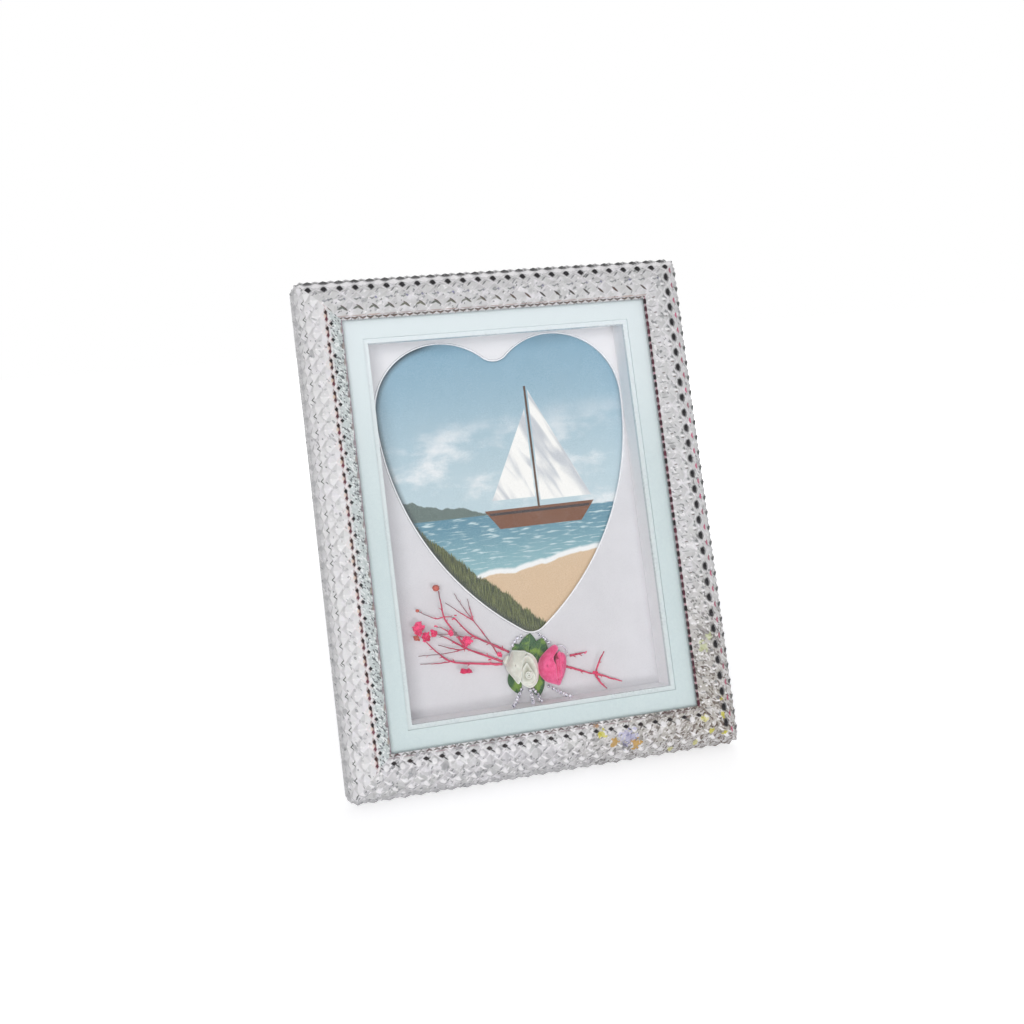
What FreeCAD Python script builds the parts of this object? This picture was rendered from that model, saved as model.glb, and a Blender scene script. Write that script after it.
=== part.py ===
import FreeCAD, Part
import math
import os

# A photo frame with a heart window: a clear cut moulding round a glazed box, a mat with a heart opening
# at the back of the box, a spray of small flowers below the heart, and a folding leg behind.
# The pieces are drawn upright: X to the right, Y to the back, Z up, with Y = 0 on the back of the clear
# moulding and X = Z = 0 at its middle. They are then leaned back together and stood on the floor.

Vector = FreeCAD.Vector
UP = Vector(0, 0, 1)
ALONG_X = Vector(1, 0, 0)
ALONG_Y = Vector(0, 1, 0)

# Whole frame, in millimetres and degrees
frame_width = 203.0
frame_height = 259.0
frame_corner_radius = 5.5
lean_angle = 18.0
overrun = 5.0                 # how far a cutting shape runs past what it cuts

# Clear moulding: heights are measured forward from its back
band_width = 24.1
wall_height = 5.0
shoulder_in = 6.0
shoulder_height = 15.2
crown_in = 14.5
crown_height = 19.8
lip_height = 17.4
lip_thickness = 1.6
lip_width = 3.0               # how far the lip reaches over the pane
foil_thickness = 0.4
foil_inset = 0.5

# Pane and rim
pane_thickness = 1.8
pane_gap = 0.3
rim_face_width = 9.2
rim_thickness = 4.0
bead_width = 2.2
bead_step = 1.2

# Box behind the rim
box_depth = 15.5
box_top_rise = 5.0            # the top wall stands above the rim's opening
wall_thickness = 4.0

# Mat, picture, card and lid: one pack, wider and taller than the box, so that its edge rests on the walls
pack_side_overlap = 10.2
pack_end_overlap = 5.1
pack_gap = 0.3
mat_thickness = 2.0
picture_thickness = 0.3
card_thickness = 2.0
lid_thickness = 3.0

# Heart window, in arcs that run into each other
heart_side_gap = 0.2          # from the lobes to the box's side walls
heart_top_gap = 2.6           # from the lobes to the box's top wall
heart_floor_gap = 35.0        # from the tip to the box's bottom wall, room for the flowers
heart_lobe_share = 0.538      # a lobe's radius against half the heart's width
heart_tip_radius = 9.2
heart_cleft_radius = 9.2
heart_turn = 1.2              # degrees, the tip leans to the right
edging_width = 0.7
edging_proud = 0.5
edging_gap = 0.05

# Rear frame
rear_inset = 6.0
rear_corner_radius = 4.0

# Turn buttons and their screws
button_width = 9.0
button_reach = 14.0
button_tail = 10.0
button_thickness = 1.2
button_lift = 0.2
button_edge_radius = 0.3
button_setback = 8.0          # from the opening's edge to the screw
button_spread = 60.0          # from the lid's middle to a side button
button_bore_gap = 0.2
screw_radius = 1.4
screw_depth = 8.0
screw_gap = 0.05
screw_head_radius = 3.0
screw_head_height = 1.3
screw_slot_width = 0.7
screw_slot_depth = 0.6
screw_head_gap = 0.2

# Hinge
hinge_height = 42.0           # above the frame's middle
hinge_width = 34.0
hinge_sheet = 0.8
hinge_leaf_length = 20.0
hinge_clearance = 0.3
knuckle_radius = 1.8
knuckle_width = 14.0
knuckle_lift = 0.2
pin_radius = 0.9
pin_gap = 0.05
pin_head_radius = 1.5
pin_head_height = 0.8
leg_leaf_offset = 1.0         # from the pin's middle to the near face of the leg's leaf
leg_leaf_width = 30.0
leg_leaf_length = 18.0
stop_gap = 0.1
rivet_radius = 1.2
rivet_gap = 0.05
rivet_head_radius = 2.6
rivet_head_height = 0.7
rivet_spread = 10.0
board_rivet_height = 13.0     # above the pin
board_rivet_depth = 2.4
leg_rivet_drop = 12.0         # below the pin

# Easel leg
leg_open_angle = 33.0
leg_thickness = 3.0
leg_top_width = 36.0
leg_foot_width = 62.0
leg_top_drop = 2.6            # below the pin

# Flowers, leaves, twigs and bead sprays
flower_reach = 20.0           # from the flowers' middle to the ends of the leaves and bead sprays
flower_rise_share = 0.9       # the middle's height above the box's bottom wall, against that reach
leaf_thickness = 0.5
leaf_lift = 0.3
leaf_step = 0.7               # from one layer of leaves to the next
rose_lift = 0.1
rose_gap = 1.2                # between the two roses
rose_meeting = 0.4            # where they meet, to the right of the frame's middle
white_rose_radius = 7.6
white_rose_length = 13.0
white_rose_rise = -0.6
white_rose_height = 1.5       # of its middle, in front of the leaves
pink_rose_radius = 7.4
pink_rose_length = 13.5
pink_rose_rise = -0.4
pink_rose_height = 2.0
spray_side_gap = 6.0          # from the longest twigs to the box's side walls
spray_rise = 60.0
spray_height = 4.5
twig_radius = 0.55
twig_tip_radius = 0.32
twig_node_share = 1.35        # a twig's knots against its own radius
twig_sides = 6
blossom_radius = 2.0
blossom_gap = 0.1
bead_radius = 0.75
bead_pitch = 1.9
bead_wire_radius = 0.25
bead_rise = 3.0               # how far the longest spray comes forward at its end

# Worked out from the sizes above
half_width = frame_width / 2
half_height = frame_height / 2
sight_half_width = half_width - band_width
sight_half_height = half_height - band_width
pocket_half_width = sight_half_width + lip_width
pocket_half_height = sight_half_height + lip_width
pane_front = lip_thickness - lip_height
pane_back = pane_front + pane_thickness
rim_back = pane_back + rim_thickness
rim_inner_half_width = sight_half_width - rim_face_width
rim_inner_half_height = sight_half_height - rim_face_width
bead_front = pane_back + bead_step
box_half_width = rim_inner_half_width - bead_width
box_bottom = bead_width - rim_inner_half_height
box_top = box_top_rise - box_bottom
pack_half_width = box_half_width + pack_side_overlap
pack_bottom = box_bottom - pack_end_overlap
pack_top = box_top + pack_end_overlap
pack_middle = (pack_bottom + pack_top) / 2
mat_front = rim_back + box_depth
picture_front = mat_front + mat_thickness
card_front = picture_front + picture_thickness
lid_front = card_front + card_thickness
lid_back = lid_front + lid_thickness
hinge_y = lid_back + knuckle_radius + knuckle_lift
heart_half_width = box_half_width - heart_side_gap
heart_lobe_radius = heart_lobe_share * heart_half_width
heart_lobe_z = box_top - heart_top_gap - heart_lobe_radius
heart_tip_z = box_bottom + heart_floor_gap + heart_tip_radius
flower_z = box_bottom + flower_rise_share * flower_reach
spray_reach = box_half_width - spray_side_gap
pieces = {}


def block(x_low, x_high, y_low, y_high, z_low, z_high):
    corner = Vector(x_low, y_low, z_low)
    return Part.makeBox(x_high - x_low, y_high - y_low, z_high - z_low, corner)


def plate(half_x, z_low, z_high, y_low, y_high, corner_radius=0):
    solid = block(-half_x, half_x, y_low, y_high, z_low, z_high)
    if corner_radius > 0:
        depth_edges = [e for e in solid.Edges if e.BoundBox.YLength > e.BoundBox.DiagonalLength / 2]
        solid = solid.makeFillet(corner_radius, depth_edges)
    return solid


def rod_y(x, z, radius, y_low, y_high):
    return Part.makeCylinder(radius, y_high - y_low, Vector(x, y_low, z), ALONG_Y)


def rod_x(y, z, radius, x_low, x_high):
    return Part.makeCylinder(radius, x_high - x_low, Vector(x_low, y, z), ALONG_X)


# Clear moulding

def moulding_bar(half_long, distance):
    # The profile at the bar's left end: inward is up, forward is towards the viewer
    def at(inward, height):
        return Vector(-half_long, -height, inward - distance)
    crown_run = band_width - crown_in
    crown_drop = crown_height - lip_height
    fall_radius = (crown_run ** 2 + crown_drop ** 2) / (2 * crown_drop)
    half_turn = math.asin(crown_run / fall_radius) / 2
    fall_middle = at(crown_in + fall_radius * math.sin(half_turn),
                     crown_height - fall_radius * (1 - math.cos(half_turn)))
    lip_back = lip_height - lip_thickness
    edges = [
        Part.LineSegment(at(0, 0), at(0, wall_height)).toShape(),
        Part.Arc(at(0, wall_height), at(shoulder_in, shoulder_height), at(crown_in, crown_height)).toShape(),
        Part.Arc(at(crown_in, crown_height), fall_middle, at(band_width, lip_height)).toShape(),
        Part.LineSegment(at(band_width, lip_height), at(band_width, lip_back)).toShape(),
        Part.LineSegment(at(band_width, lip_back), at(band_width - lip_width, lip_back)).toShape(),
        Part.LineSegment(at(band_width - lip_width, lip_back), at(band_width - lip_width, 0)).toShape(),
        Part.LineSegment(at(band_width - lip_width, 0), at(0, 0)).toShape(),
    ]
    bar = Part.Face(Part.Wire(edges)).extrude(Vector(2 * half_long, 0, 0))
    # Mitred ends
    y_low = -crown_height - overrun
    inner = half_long - band_width
    corners = [Vector(-half_long, y_low, -distance), Vector(half_long, y_low, -distance),
               Vector(inner, y_low, band_width - distance), Vector(-inner, y_low, band_width - distance)]
    mitre = Part.Face(Part.makePolygon(corners + corners[:1]))
    return bar.common(mitre.extrude(Vector(0, crown_height + 2 * overrun, 0)))


def make_moulding():
    bars = []
    for quarter in range(4):
        if quarter % 2 == 0:
            bar = moulding_bar(half_width, half_height)
        else:
            bar = moulding_bar(half_height, half_width)
        bar.rotate(Vector(0, 0, 0), ALONG_Y, 90 * quarter)
        bars.append(bar)
    ring = bars[0].fuse(bars[1:]).removeSplitter()
    outline = plate(half_width, -half_height, half_height, -crown_height - overrun, overrun,
                    frame_corner_radius)
    return ring.common(outline)


pieces["crystal_moulding"] = make_moulding()
foil = plate(half_width - foil_inset, foil_inset - half_height, half_height - foil_inset,
             0, foil_thickness, frame_corner_radius)
foil_hole = plate(pocket_half_width, -pocket_half_height, pocket_half_height, -overrun, overrun)
pieces["silver_foil"] = foil.cut(foil_hole)


# Pane, rim and bead

pane_half_width = pocket_half_width - pane_gap
pane_half_height = pocket_half_height - pane_gap
pieces["front_pane"] = plate(pane_half_width, -pane_half_height, pane_half_height, pane_front, pane_back)

rim = plate(pane_half_width, -pane_half_height, pane_half_height, pane_back, rim_back)
rim_hole = plate(rim_inner_half_width, -rim_inner_half_height, rim_inner_half_height,
                 pane_back - overrun, rim_back + overrun)
pieces["mint_rim"] = rim.cut(rim_hole)

bead = plate(rim_inner_half_width, -rim_inner_half_height, rim_inner_half_height, bead_front, rim_back)
bead_hole = plate(box_half_width, box_bottom, -box_bottom, bead_front - overrun, rim_back + overrun)
pieces["pearl_bead"] = bead.cut(bead_hole)


# Walls of the box: top and bottom run right across, and the side walls stand between them

outer_half = box_half_width + wall_thickness
pieces["box_wall_top"] = block(-outer_half, outer_half, rim_back, mat_front, box_top, box_top + wall_thickness)
pieces["box_wall_bottom"] = block(-outer_half, outer_half, rim_back, mat_front,
                                  box_bottom - wall_thickness, box_bottom)
pieces["box_wall_left"] = block(-outer_half, -box_half_width, rim_back, mat_front, box_bottom, box_top)
pieces["box_wall_right"] = block(box_half_width, outer_half, rim_back, mat_front, box_bottom, box_top)


# Heart window

def direction(start, end):
    step = end.sub(start)
    return step.multiply(1 / step.Length)


def arc_about(centre, radius, start, end):
    middle = start.sub(centre).add(end.sub(centre))
    middle = centre.add(middle.multiply(radius / middle.Length))
    return Part.Arc(start, middle, end).toShape()


def mirrored(point):
    return Vector(-point.x, point.y, point.z)


def heart_prism(inward, y_low, y_high):
    # Every arc keeps its centre, and inward shrinks the outline by that much all round
    lobe = Vector(heart_half_width - heart_lobe_radius, y_low, heart_lobe_z)
    tip = Vector(0, y_low, heart_tip_z)
    cleft_rise = math.sqrt((heart_lobe_radius + heart_cleft_radius) ** 2 - lobe.x ** 2)
    cleft = Vector(0, y_low, heart_lobe_z + cleft_rise)
    # The flank leaves the lobe where it is widest, and runs into the tip
    fall = heart_lobe_z - heart_tip_z
    full_flank_radius = ((heart_half_width ** 2 + fall ** 2 - heart_tip_radius ** 2)
                         / (2 * (heart_half_width - heart_tip_radius)))
    flank = Vector(heart_half_width - full_flank_radius, y_low, heart_lobe_z)

    flank_radius = full_flank_radius - inward
    lobe_radius = heart_lobe_radius - inward
    cleft_radius = heart_cleft_radius + inward
    tip_radius = heart_tip_radius - inward
    tip_end = flank.add(direction(flank, tip).multiply(flank_radius))
    lobe_start = flank.add(direction(flank, lobe).multiply(flank_radius))
    lobe_end = cleft.add(direction(cleft, lobe).multiply(cleft_radius))
    lowest = tip.sub(Vector(0, 0, tip_radius))
    notch = cleft.sub(Vector(0, 0, cleft_radius))
    edges = [
        arc_about(flank, flank_radius, tip_end, lobe_start),
        arc_about(lobe, lobe_radius, lobe_start, lobe_end),
        Part.Arc(lobe_end, notch, mirrored(lobe_end)).toShape(),
        arc_about(mirrored(lobe), lobe_radius, mirrored(lobe_end), mirrored(lobe_start)),
        arc_about(mirrored(flank), flank_radius, mirrored(lobe_start), mirrored(tip_end)),
        Part.Arc(mirrored(tip_end), lowest, tip_end).toShape(),
    ]
    prism = Part.Face(Part.Wire(edges)).extrude(Vector(0, y_high - y_low, 0))
    prism.rotate(Vector(0, 0, heart_lobe_z), ALONG_Y, -heart_turn)
    return prism


mat = plate(pack_half_width, pack_bottom, pack_top, mat_front, picture_front)
pieces["heart_mat"] = mat.cut(heart_prism(0, mat_front - overrun, picture_front + overrun))
edging = heart_prism(edging_gap, mat_front - edging_proud, picture_front)
edging_hole = heart_prism(edging_gap + edging_width, mat_front - overrun, picture_front + overrun)
pieces["heart_edging"] = edging.cut(edging_hole)


# Picture, card and lid behind the mat

pieces["picture"] = plate(pack_half_width, pack_bottom, pack_top, picture_front, card_front)
pieces["backing_card"] = plate(pack_half_width, pack_bottom, pack_top, card_front, lid_front)
lid = plate(pack_half_width, pack_bottom, pack_top, lid_front, lid_back)
rivet_places = (-rivet_spread, rivet_spread)
for x in rivet_places:
    lid = lid.cut(rod_y(x, hinge_height + board_rivet_height, rivet_radius + rivet_gap,
                        lid_back - board_rivet_depth, lid_back + overrun))
pieces["back_lid"] = lid


# Rear frame, with a pilot hole for each turn button

opening_half_width = pack_half_width + pack_gap
opening_bottom = pack_bottom - pack_gap
opening_top = pack_top + pack_gap
side_screw_x = opening_half_width + button_setback
button_places = {
    # Screw's place, and the turn that points the button at the lid
    "turn_button_left_upper": (-side_screw_x, pack_middle + button_spread, 0),
    "turn_button_left_lower": (-side_screw_x, pack_middle - button_spread, 0),
    "turn_button_right_upper": (side_screw_x, pack_middle + button_spread, 180),
    "turn_button_right_lower": (side_screw_x, pack_middle - button_spread, 180),
    "turn_button_top": (0, opening_top + button_setback, 90),
    "turn_button_bottom": (0, opening_bottom - button_setback, -90),
}

rear = plate(half_width - rear_inset, rear_inset - half_height, half_height - rear_inset,
             foil_thickness, lid_back, rear_corner_radius)
rear = rear.cut(plate(opening_half_width, opening_bottom, opening_top, -overrun, lid_back + overrun))
for x, z, turn in button_places.values():
    rear = rear.cut(rod_y(x, z, screw_radius + screw_gap, lid_back - screw_depth - screw_gap,
                          lid_back + overrun))
pieces["rear_frame"] = rear


# Turn buttons and their screws

button_front = lid_back + button_lift
button_back = button_front + button_thickness
screw_head_front = button_back + screw_head_gap


def make_button(x, z, turn):
    end = button_width / 2
    button = block(end - button_tail, button_reach - end, button_front, button_back, -end, end)
    for middle in (end - button_tail, button_reach - end):
        button = button.fuse(rod_y(middle, 0, end, button_front, button_back))
    button = button.removeSplitter()
    rims = [e for e in button.Edges if e.BoundBox.YLength < button_thickness / 2]
    button = button.makeFillet(button_edge_radius, rims)
    button = button.cut(rod_y(0, 0, screw_radius + button_bore_gap, button_front - overrun,
                              button_back + overrun))
    button.rotate(Vector(0, 0, 0), ALONG_Y, turn)
    button.translate(Vector(x, 0, z))
    return button


def make_screw(x, z):
    head_back = screw_head_front + screw_head_height
    head = rod_y(0, 0, screw_head_radius, screw_head_front, head_back)
    rim = [e for e in head.Edges if e.BoundBox.YMin > screw_head_front + screw_head_height / 2]
    head = head.makeFillet(screw_slot_depth, rim)
    slot = block(-screw_head_radius, screw_head_radius, head_back - screw_slot_depth, head_back + overrun,
                 -screw_slot_width / 2, screw_slot_width / 2)
    cross = slot.copy()
    cross.rotate(Vector(0, 0, 0), ALONG_Y, 90)
    shank = rod_y(0, 0, screw_radius, lid_back - screw_depth, screw_head_front)
    screw = shank.fuse(head).removeSplitter().cut(slot).cut(cross)
    screw.translate(Vector(x, 0, z))
    return screw


for name, (x, z, turn) in button_places.items():
    pieces[name] = make_button(x, z, turn)
pieces["button_screws"] = Part.makeCompound([make_screw(x, z) for x, z, turn in button_places.values()])


# Hinge on the lid

half_knuckle = knuckle_width / 2
half_hinge = hinge_width / 2
leaf = block(-half_hinge, half_hinge, lid_back, lid_back + hinge_sheet, hinge_height,
             hinge_height + hinge_leaf_length)
leaf = leaf.fuse(rod_x(hinge_y, hinge_height, knuckle_radius, -half_hinge, half_hinge))
room = half_knuckle + hinge_clearance
leaf = leaf.cut(rod_x(hinge_y, hinge_height, knuckle_radius + hinge_clearance, -room, room))
leaf = leaf.cut(rod_x(hinge_y, hinge_height, pin_radius + pin_gap, -half_hinge - overrun, half_hinge + overrun))
for x in rivet_places:
    leaf = leaf.cut(rod_y(x, hinge_height + board_rivet_height, rivet_radius + rivet_gap,
                          lid_back - overrun, lid_back + overrun))
pieces["hinge_lid_leaf"] = leaf.removeSplitter()

pin = rod_x(hinge_y, hinge_height, pin_radius, -half_hinge, half_hinge)
for x_low in (-half_hinge - pin_head_height, half_hinge):
    pin = pin.fuse(rod_x(hinge_y, hinge_height, pin_head_radius, x_low, x_low + pin_head_height))
pieces["hinge_pin"] = pin.removeSplitter()


def make_rivet(x, z, shank_low, head_low):
    head = rod_y(x, z, rivet_head_radius, head_low, head_low + rivet_head_height)
    rim = [e for e in head.Edges if e.BoundBox.YMin > head_low + rivet_head_height / 2]
    head = head.makeFillet(rivet_head_height / 2, rim)
    shank = rod_y(x, z, rivet_radius, shank_low, head_low)
    return shank.fuse(head).removeSplitter()


rivet_z = hinge_height + board_rivet_height
pieces["lid_rivets"] = Part.makeCompound([
    make_rivet(x, rivet_z, lid_back - board_rivet_depth + rivet_gap, lid_back + hinge_sheet)
    for x in rivet_places])


# Leg with its leaf, drawn folded against the lid and then swung open

leaf_near = hinge_y + leg_leaf_offset
leaf_far = leaf_near + hinge_sheet
leg_open = math.radians(leg_open_angle)
stop_room = hinge_y - lid_back - hinge_sheet - stop_gap
heel_length = (leg_leaf_offset * math.cos(leg_open) + stop_room) / math.sin(leg_open)

leg_leaf = block(-half_knuckle, half_knuckle, leaf_near, leaf_far, hinge_height - leg_leaf_length,
                 hinge_height + heel_length)
leg_leaf = leg_leaf.fuse(block(-leg_leaf_width / 2, leg_leaf_width / 2, leaf_near, leaf_far,
                               hinge_height - leg_leaf_length, hinge_height - knuckle_radius - hinge_clearance))
leg_leaf = leg_leaf.fuse(rod_x(hinge_y, hinge_height, knuckle_radius, -half_knuckle, half_knuckle))
leg_leaf = leg_leaf.cut(rod_x(hinge_y, hinge_height, pin_radius + pin_gap, -half_hinge, half_hinge))
leg_rivet_z = hinge_height - leg_rivet_drop
leg_far = leaf_far + leg_thickness

lift = half_height * math.cos(math.radians(lean_angle))
standing = FreeCAD.Placement(Vector(0, 0, lift), FreeCAD.Rotation(ALONG_X, -lean_angle))
pin_above_floor = standing.multVec(Vector(0, hinge_y, hinge_height)).z
leg_length = pin_above_floor / math.cos(leg_open - math.radians(lean_angle))
leg_end = leg_length + leg_thickness + overrun
corners = [Vector(-leg_top_width / 2, leaf_far, hinge_height - leg_top_drop),
           Vector(leg_top_width / 2, leaf_far, hinge_height - leg_top_drop),
           Vector(leg_foot_width / 2, leaf_far, hinge_height - leg_end),
           Vector(-leg_foot_width / 2, leaf_far, hinge_height - leg_end)]
leg = Part.Face(Part.makePolygon(corners + corners[:1])).extrude(Vector(0, leg_thickness, 0))
for x in rivet_places:
    hole = rod_y(x, leg_rivet_z, rivet_radius + rivet_gap, leaf_near - overrun, leg_far + overrun)
    leg_leaf = leg_leaf.cut(hole)
    leg = leg.cut(hole)
leg_rivets = []
for x in rivet_places:
    foot = rod_y(x, leg_rivet_z, rivet_head_radius, leaf_near - rivet_head_height, leaf_near)
    leg_rivets.append(foot.fuse(make_rivet(x, leg_rivet_z, leaf_near, leg_far)).removeSplitter())

swinging = {"hinge_leg_leaf": leg_leaf.removeSplitter(), "leg_rivets": Part.makeCompound(leg_rivets),
            "easel_leg": leg}
for name, shape in swinging.items():
    shape.rotate(Vector(0, hinge_y, hinge_height), ALONG_X, leg_open_angle)
    pieces[name] = shape


# Flowers in front of the mat

def rose(radius, length, middle, facing):
    # A cup with rings of petals inside it, as shares of the radius and the length
    ring_shares = [(0.0, 0.0), (0.55, 0.06), (0.9, 0.35), (1.0, 0.7), (0.93, 0.9), (0.84, 0.93), (0.74, 0.76),
                   (0.64, 0.95), (0.56, 0.98), (0.46, 0.82), (0.36, 0.97), (0.3, 1.0), (0.2, 0.9), (0.0, 0.96)]
    points = [Vector(out * radius, 0, along * length) for out, along in ring_shares]
    cup = Part.Face(Part.makePolygon(points + points[:1])).revolve(Vector(0, 0, 0), UP, 360)
    cup.translate(Vector(0, 0, -length / 2))
    cup.Placement = FreeCAD.Placement(middle, FreeCAD.Rotation(UP, facing)).multiply(cup.Placement)
    return cup


first_leaf_back = mat_front - leaf_lift
leaf_front = first_leaf_back - leaf_thickness - leaf_step
behind_roses = block(-half_width, half_width, leaf_front - rose_lift, lid_back, -half_height, half_height)
white_right = rose_meeting - rose_gap / 2 - white_rose_radius
pink_right = rose_meeting + rose_gap / 2 + pink_rose_radius
white_middle = Vector(white_right, leaf_front - white_rose_height, flower_z + white_rose_rise)
pink_middle = Vector(pink_right, leaf_front - pink_rose_height, flower_z + pink_rose_rise)
white_facing_shares = (0.3, -0.8, -0.52)
pink_facing_shares = (0.36, -0.86, 0.36)
white = rose(white_rose_radius, white_rose_length, white_middle, Vector(*white_facing_shares))
pink = rose(pink_rose_radius, pink_rose_length, pink_middle, Vector(*pink_facing_shares))
pieces["white_rose"] = white.cut(behind_roses)
pieces["pink_rose"] = pink.cut(behind_roses)


def make_leaf(stalk_share, tip_share, width_share, layer):
    # Each leaf is a flat blade between two arcs, from its stalk to its tip, in shares of the flowers' reach
    back = first_leaf_back - layer * leaf_step
    stalk = Vector(stalk_share[0] * flower_reach, back, flower_z + stalk_share[1] * flower_reach)
    tip = Vector(tip_share[0] * flower_reach, back, flower_z + tip_share[1] * flower_reach)
    along = direction(stalk, tip)
    middle = stalk.add(tip).multiply(0.5)
    side = Vector(-along.z, 0, along.x).multiply(width_share * flower_reach / 2)
    edges = [Part.Arc(stalk, middle.add(side), tip).toShape(), Part.Arc(tip, middle.sub(side), stalk).toShape()]
    return Part.Face(Part.Wire(edges)).extrude(Vector(0, -leaf_thickness, 0))


# Stalk, tip and width as shares of the flowers' reach, and the layer
leaf_shares = [
    ((-0.12, 0.09), (0.04, 0.81), 0.45, 0),
    ((0.06, 0.06), (0.315, 0.645), 0.39, 1),
    ((-0.27, 0.09), (-0.495, 0.555), 0.3, 1),
    ((-0.39, 0.0), (-0.48, -0.6), 0.36, 0),
    ((0.0, -0.09), (0.036, -0.795), 0.39, 0),
]
pieces["rose_leaves"] = Part.makeCompound([make_leaf(*shares) for shares in leaf_shares])


def route_point(right_share, rise_share, height_share):
    # A height of zero rests a twig's knot just in front of the mat
    resting = mat_front - twig_radius * twig_node_share - blossom_gap
    return Vector(right_share * spray_reach, resting - height_share * spray_height,
                  flower_z + rise_share * spray_rise)


def faceted(rings):
    # Flat sides join one ring of corners to the next, and the first and last ring are closed
    faces = [Part.Face(Part.makePolygon(ring + ring[:1])) for ring in (rings[0], rings[-1])]
    for low, high in zip(rings, rings[1:]):
        for i in range(twig_sides):
            after = (i + 1) % twig_sides
            faces.append(Part.Face(Part.makePolygon([low[i], low[after], high[after], high[i], low[i]])))
    solid = Part.makeSolid(Part.makeShell(faces))
    if solid.Volume < 0:
        solid.reverse()
    return solid


def corner_ring(middle, along, radius):
    turned = FreeCAD.Rotation(UP, along)
    angles = [2 * math.pi * i / twig_sides for i in range(twig_sides)]
    return [middle.add(turned.multVec(Vector(radius * math.cos(a), radius * math.sin(a), 0))) for a in angles]


def make_knot(middle, radius):
    # A small faceted ball
    rings = []
    for latitude in (-60, -20, 20, 60):
        angle = math.radians(latitude)
        place = middle.add(Vector(0, radius * math.sin(angle), 0))
        rings.append(corner_ring(place, ALONG_Y, radius * math.cos(angle)))
    return faceted(rings)


def make_twigs(routes, thin_routes):
    # Straight lengths that taper a little, with a knot at every bend and branch
    solids = []
    knots = {}
    for shares in routes + thin_routes:
        points = [route_point(*share) for share in shares]
        thick = twig_tip_radius if shares in thin_routes else twig_radius
        radii = [thick + (twig_tip_radius - thick) * i / (len(points) - 1) for i in range(len(points))]
        for start, end, low, high in zip(points, points[1:], radii, radii[1:]):
            along = end.sub(start)
            solids.append(faceted([corner_ring(start, along, low), corner_ring(end, along, high)]))
        for share, radius in zip(shares, radii):
            knots[share] = max(radius, knots.get(share, 0))
    for share, radius in knots.items():
        solids.append(make_knot(route_point(*share), radius * twig_node_share))
    return solids[0].fuse(solids[1:])


# Routes as shares of the spray's reach to the right, of its rise upward and of its height forward
left_routes_shares = [
    [(-0.27, 0.05, 0.0), (-0.52, 0.09, 0.4), (-0.70, 0.14, 0.5), (-0.81, 0.23, 0.6), (-0.91, 0.35, 0.7)],
    [(-0.20, 0.14, 0.0), (-0.34, 0.23, 0.4), (-0.48, 0.32, 0.7), (-0.55, 0.38, 0.8), (-0.64, 0.50, 0.7)],
    [(-0.27, 0.09, 0.0), (-0.37, 0.13, 0.6), (-0.57, 0.23, 1.2), (-0.72, 0.34, 1.1), (-0.82, 0.39, 1.0)],
    [(-0.57, 0.23, 1.2), (-0.63, 0.34, 1.5), (-0.68, 0.43, 1.5), (-0.72, 0.52, 1.1), (-0.74, 0.74, 0.8)],
]
left_thin_shares = [
    [(-0.70, 0.14, 0.5), (-0.96, 0.15, 0.2)],
    [(-0.48, 0.32, 0.7), (-0.69, 0.37, 0.5), (-0.80, 0.37, 0.4)],
    [(-0.57, 0.23, 1.2), (-0.61, 0.22, 1.0), (-0.97, 0.22, 0.6)],
    [(-0.72, 0.52, 1.1), (-0.78, 0.51, 0.9), (-0.93, 0.59, 0.6)],
    [(-0.29, 0.13, 0.0), (-0.38, 0.31, 0.2), (-0.47, 0.45, 0.3), (-0.55, 0.58, 0.4), (-0.61, 0.70, 0.5)],
    [(-0.47, 0.45, 0.3), (-0.50, 0.64, 0.4)],
    [(-0.47, 0.45, 0.3), (-0.59, 0.55, 0.6), (-0.69, 0.63, 0.7)],
    [(-0.91, 0.35, 0.7), (-0.94, 0.44, 0.8)],
    [(-0.91, 0.35, 0.7), (-0.97, 0.37, 0.6)],
    [(-0.57, 0.23, 1.2), (-0.54, 0.31, 1.4)],
    [(-0.52, 0.09, 0.4), (-0.58, 0.07, 0.5)],
    [(-0.72, 0.34, 1.1), (-0.79, 0.45, 1.0)],
]
right_routes_shares = [
    [(0.27, -0.04, 0.0), (0.49, -0.13, 0.4), (0.53, -0.14, 0.5), (0.62, 0.04, 0.9)],
    [(0.53, -0.14, 0.5), (0.76, -0.24, 0.3)],
    [(0.53, -0.14, 0.5), (0.61, -0.28, 0.8)],
]
right_short_shares = [
    [(0.33, 0.04, 0.0), (0.46, 0.05, 0.3)],
]
pieces["twigs_left"] = make_twigs(left_routes_shares, left_thin_shares)
pieces["twigs_right"] = Part.makeCompound([make_twigs(right_routes_shares, []),
                                           make_twigs(right_short_shares, [])])


# Each blossom sits just in front of a twig's knot, and has a share of the largest one's radius
blossom_shares = [
    (-0.94, 0.44, 0.8, 1.0), (-0.97, 0.37, 0.6, 0.8), (-0.91, 0.35, 0.7, 0.7), (-0.82, 0.39, 1.0, 0.65),
    (-0.69, 0.37, 0.5, 0.5), (-0.54, 0.31, 1.4, 0.8), (-0.63, 0.34, 1.5, 0.5), (-0.64, 0.50, 0.7, 0.55),
    (-0.74, 0.74, 0.8, 0.9), (-0.93, 0.59, 0.6, 0.55), (-0.58, 0.07, 0.5, 0.7), (-0.37, 0.13, 0.6, 0.5),
    (-0.29, 0.13, 0.0, 0.6), (-0.79, 0.45, 1.0, 0.4), (0.46, 0.05, 0.3, 0.5),
]


def make_blossom(right_share, rise_share, height_share, size_share):
    radius = size_share * blossom_radius
    middle = route_point(right_share, rise_share, height_share)
    middle = middle.sub(Vector(0, radius + twig_radius + blossom_gap, 0))
    return Part.makeSphere(radius, middle)


pieces["blossoms"] = Part.makeCompound([make_blossom(*shares) for shares in blossom_shares])


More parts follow.
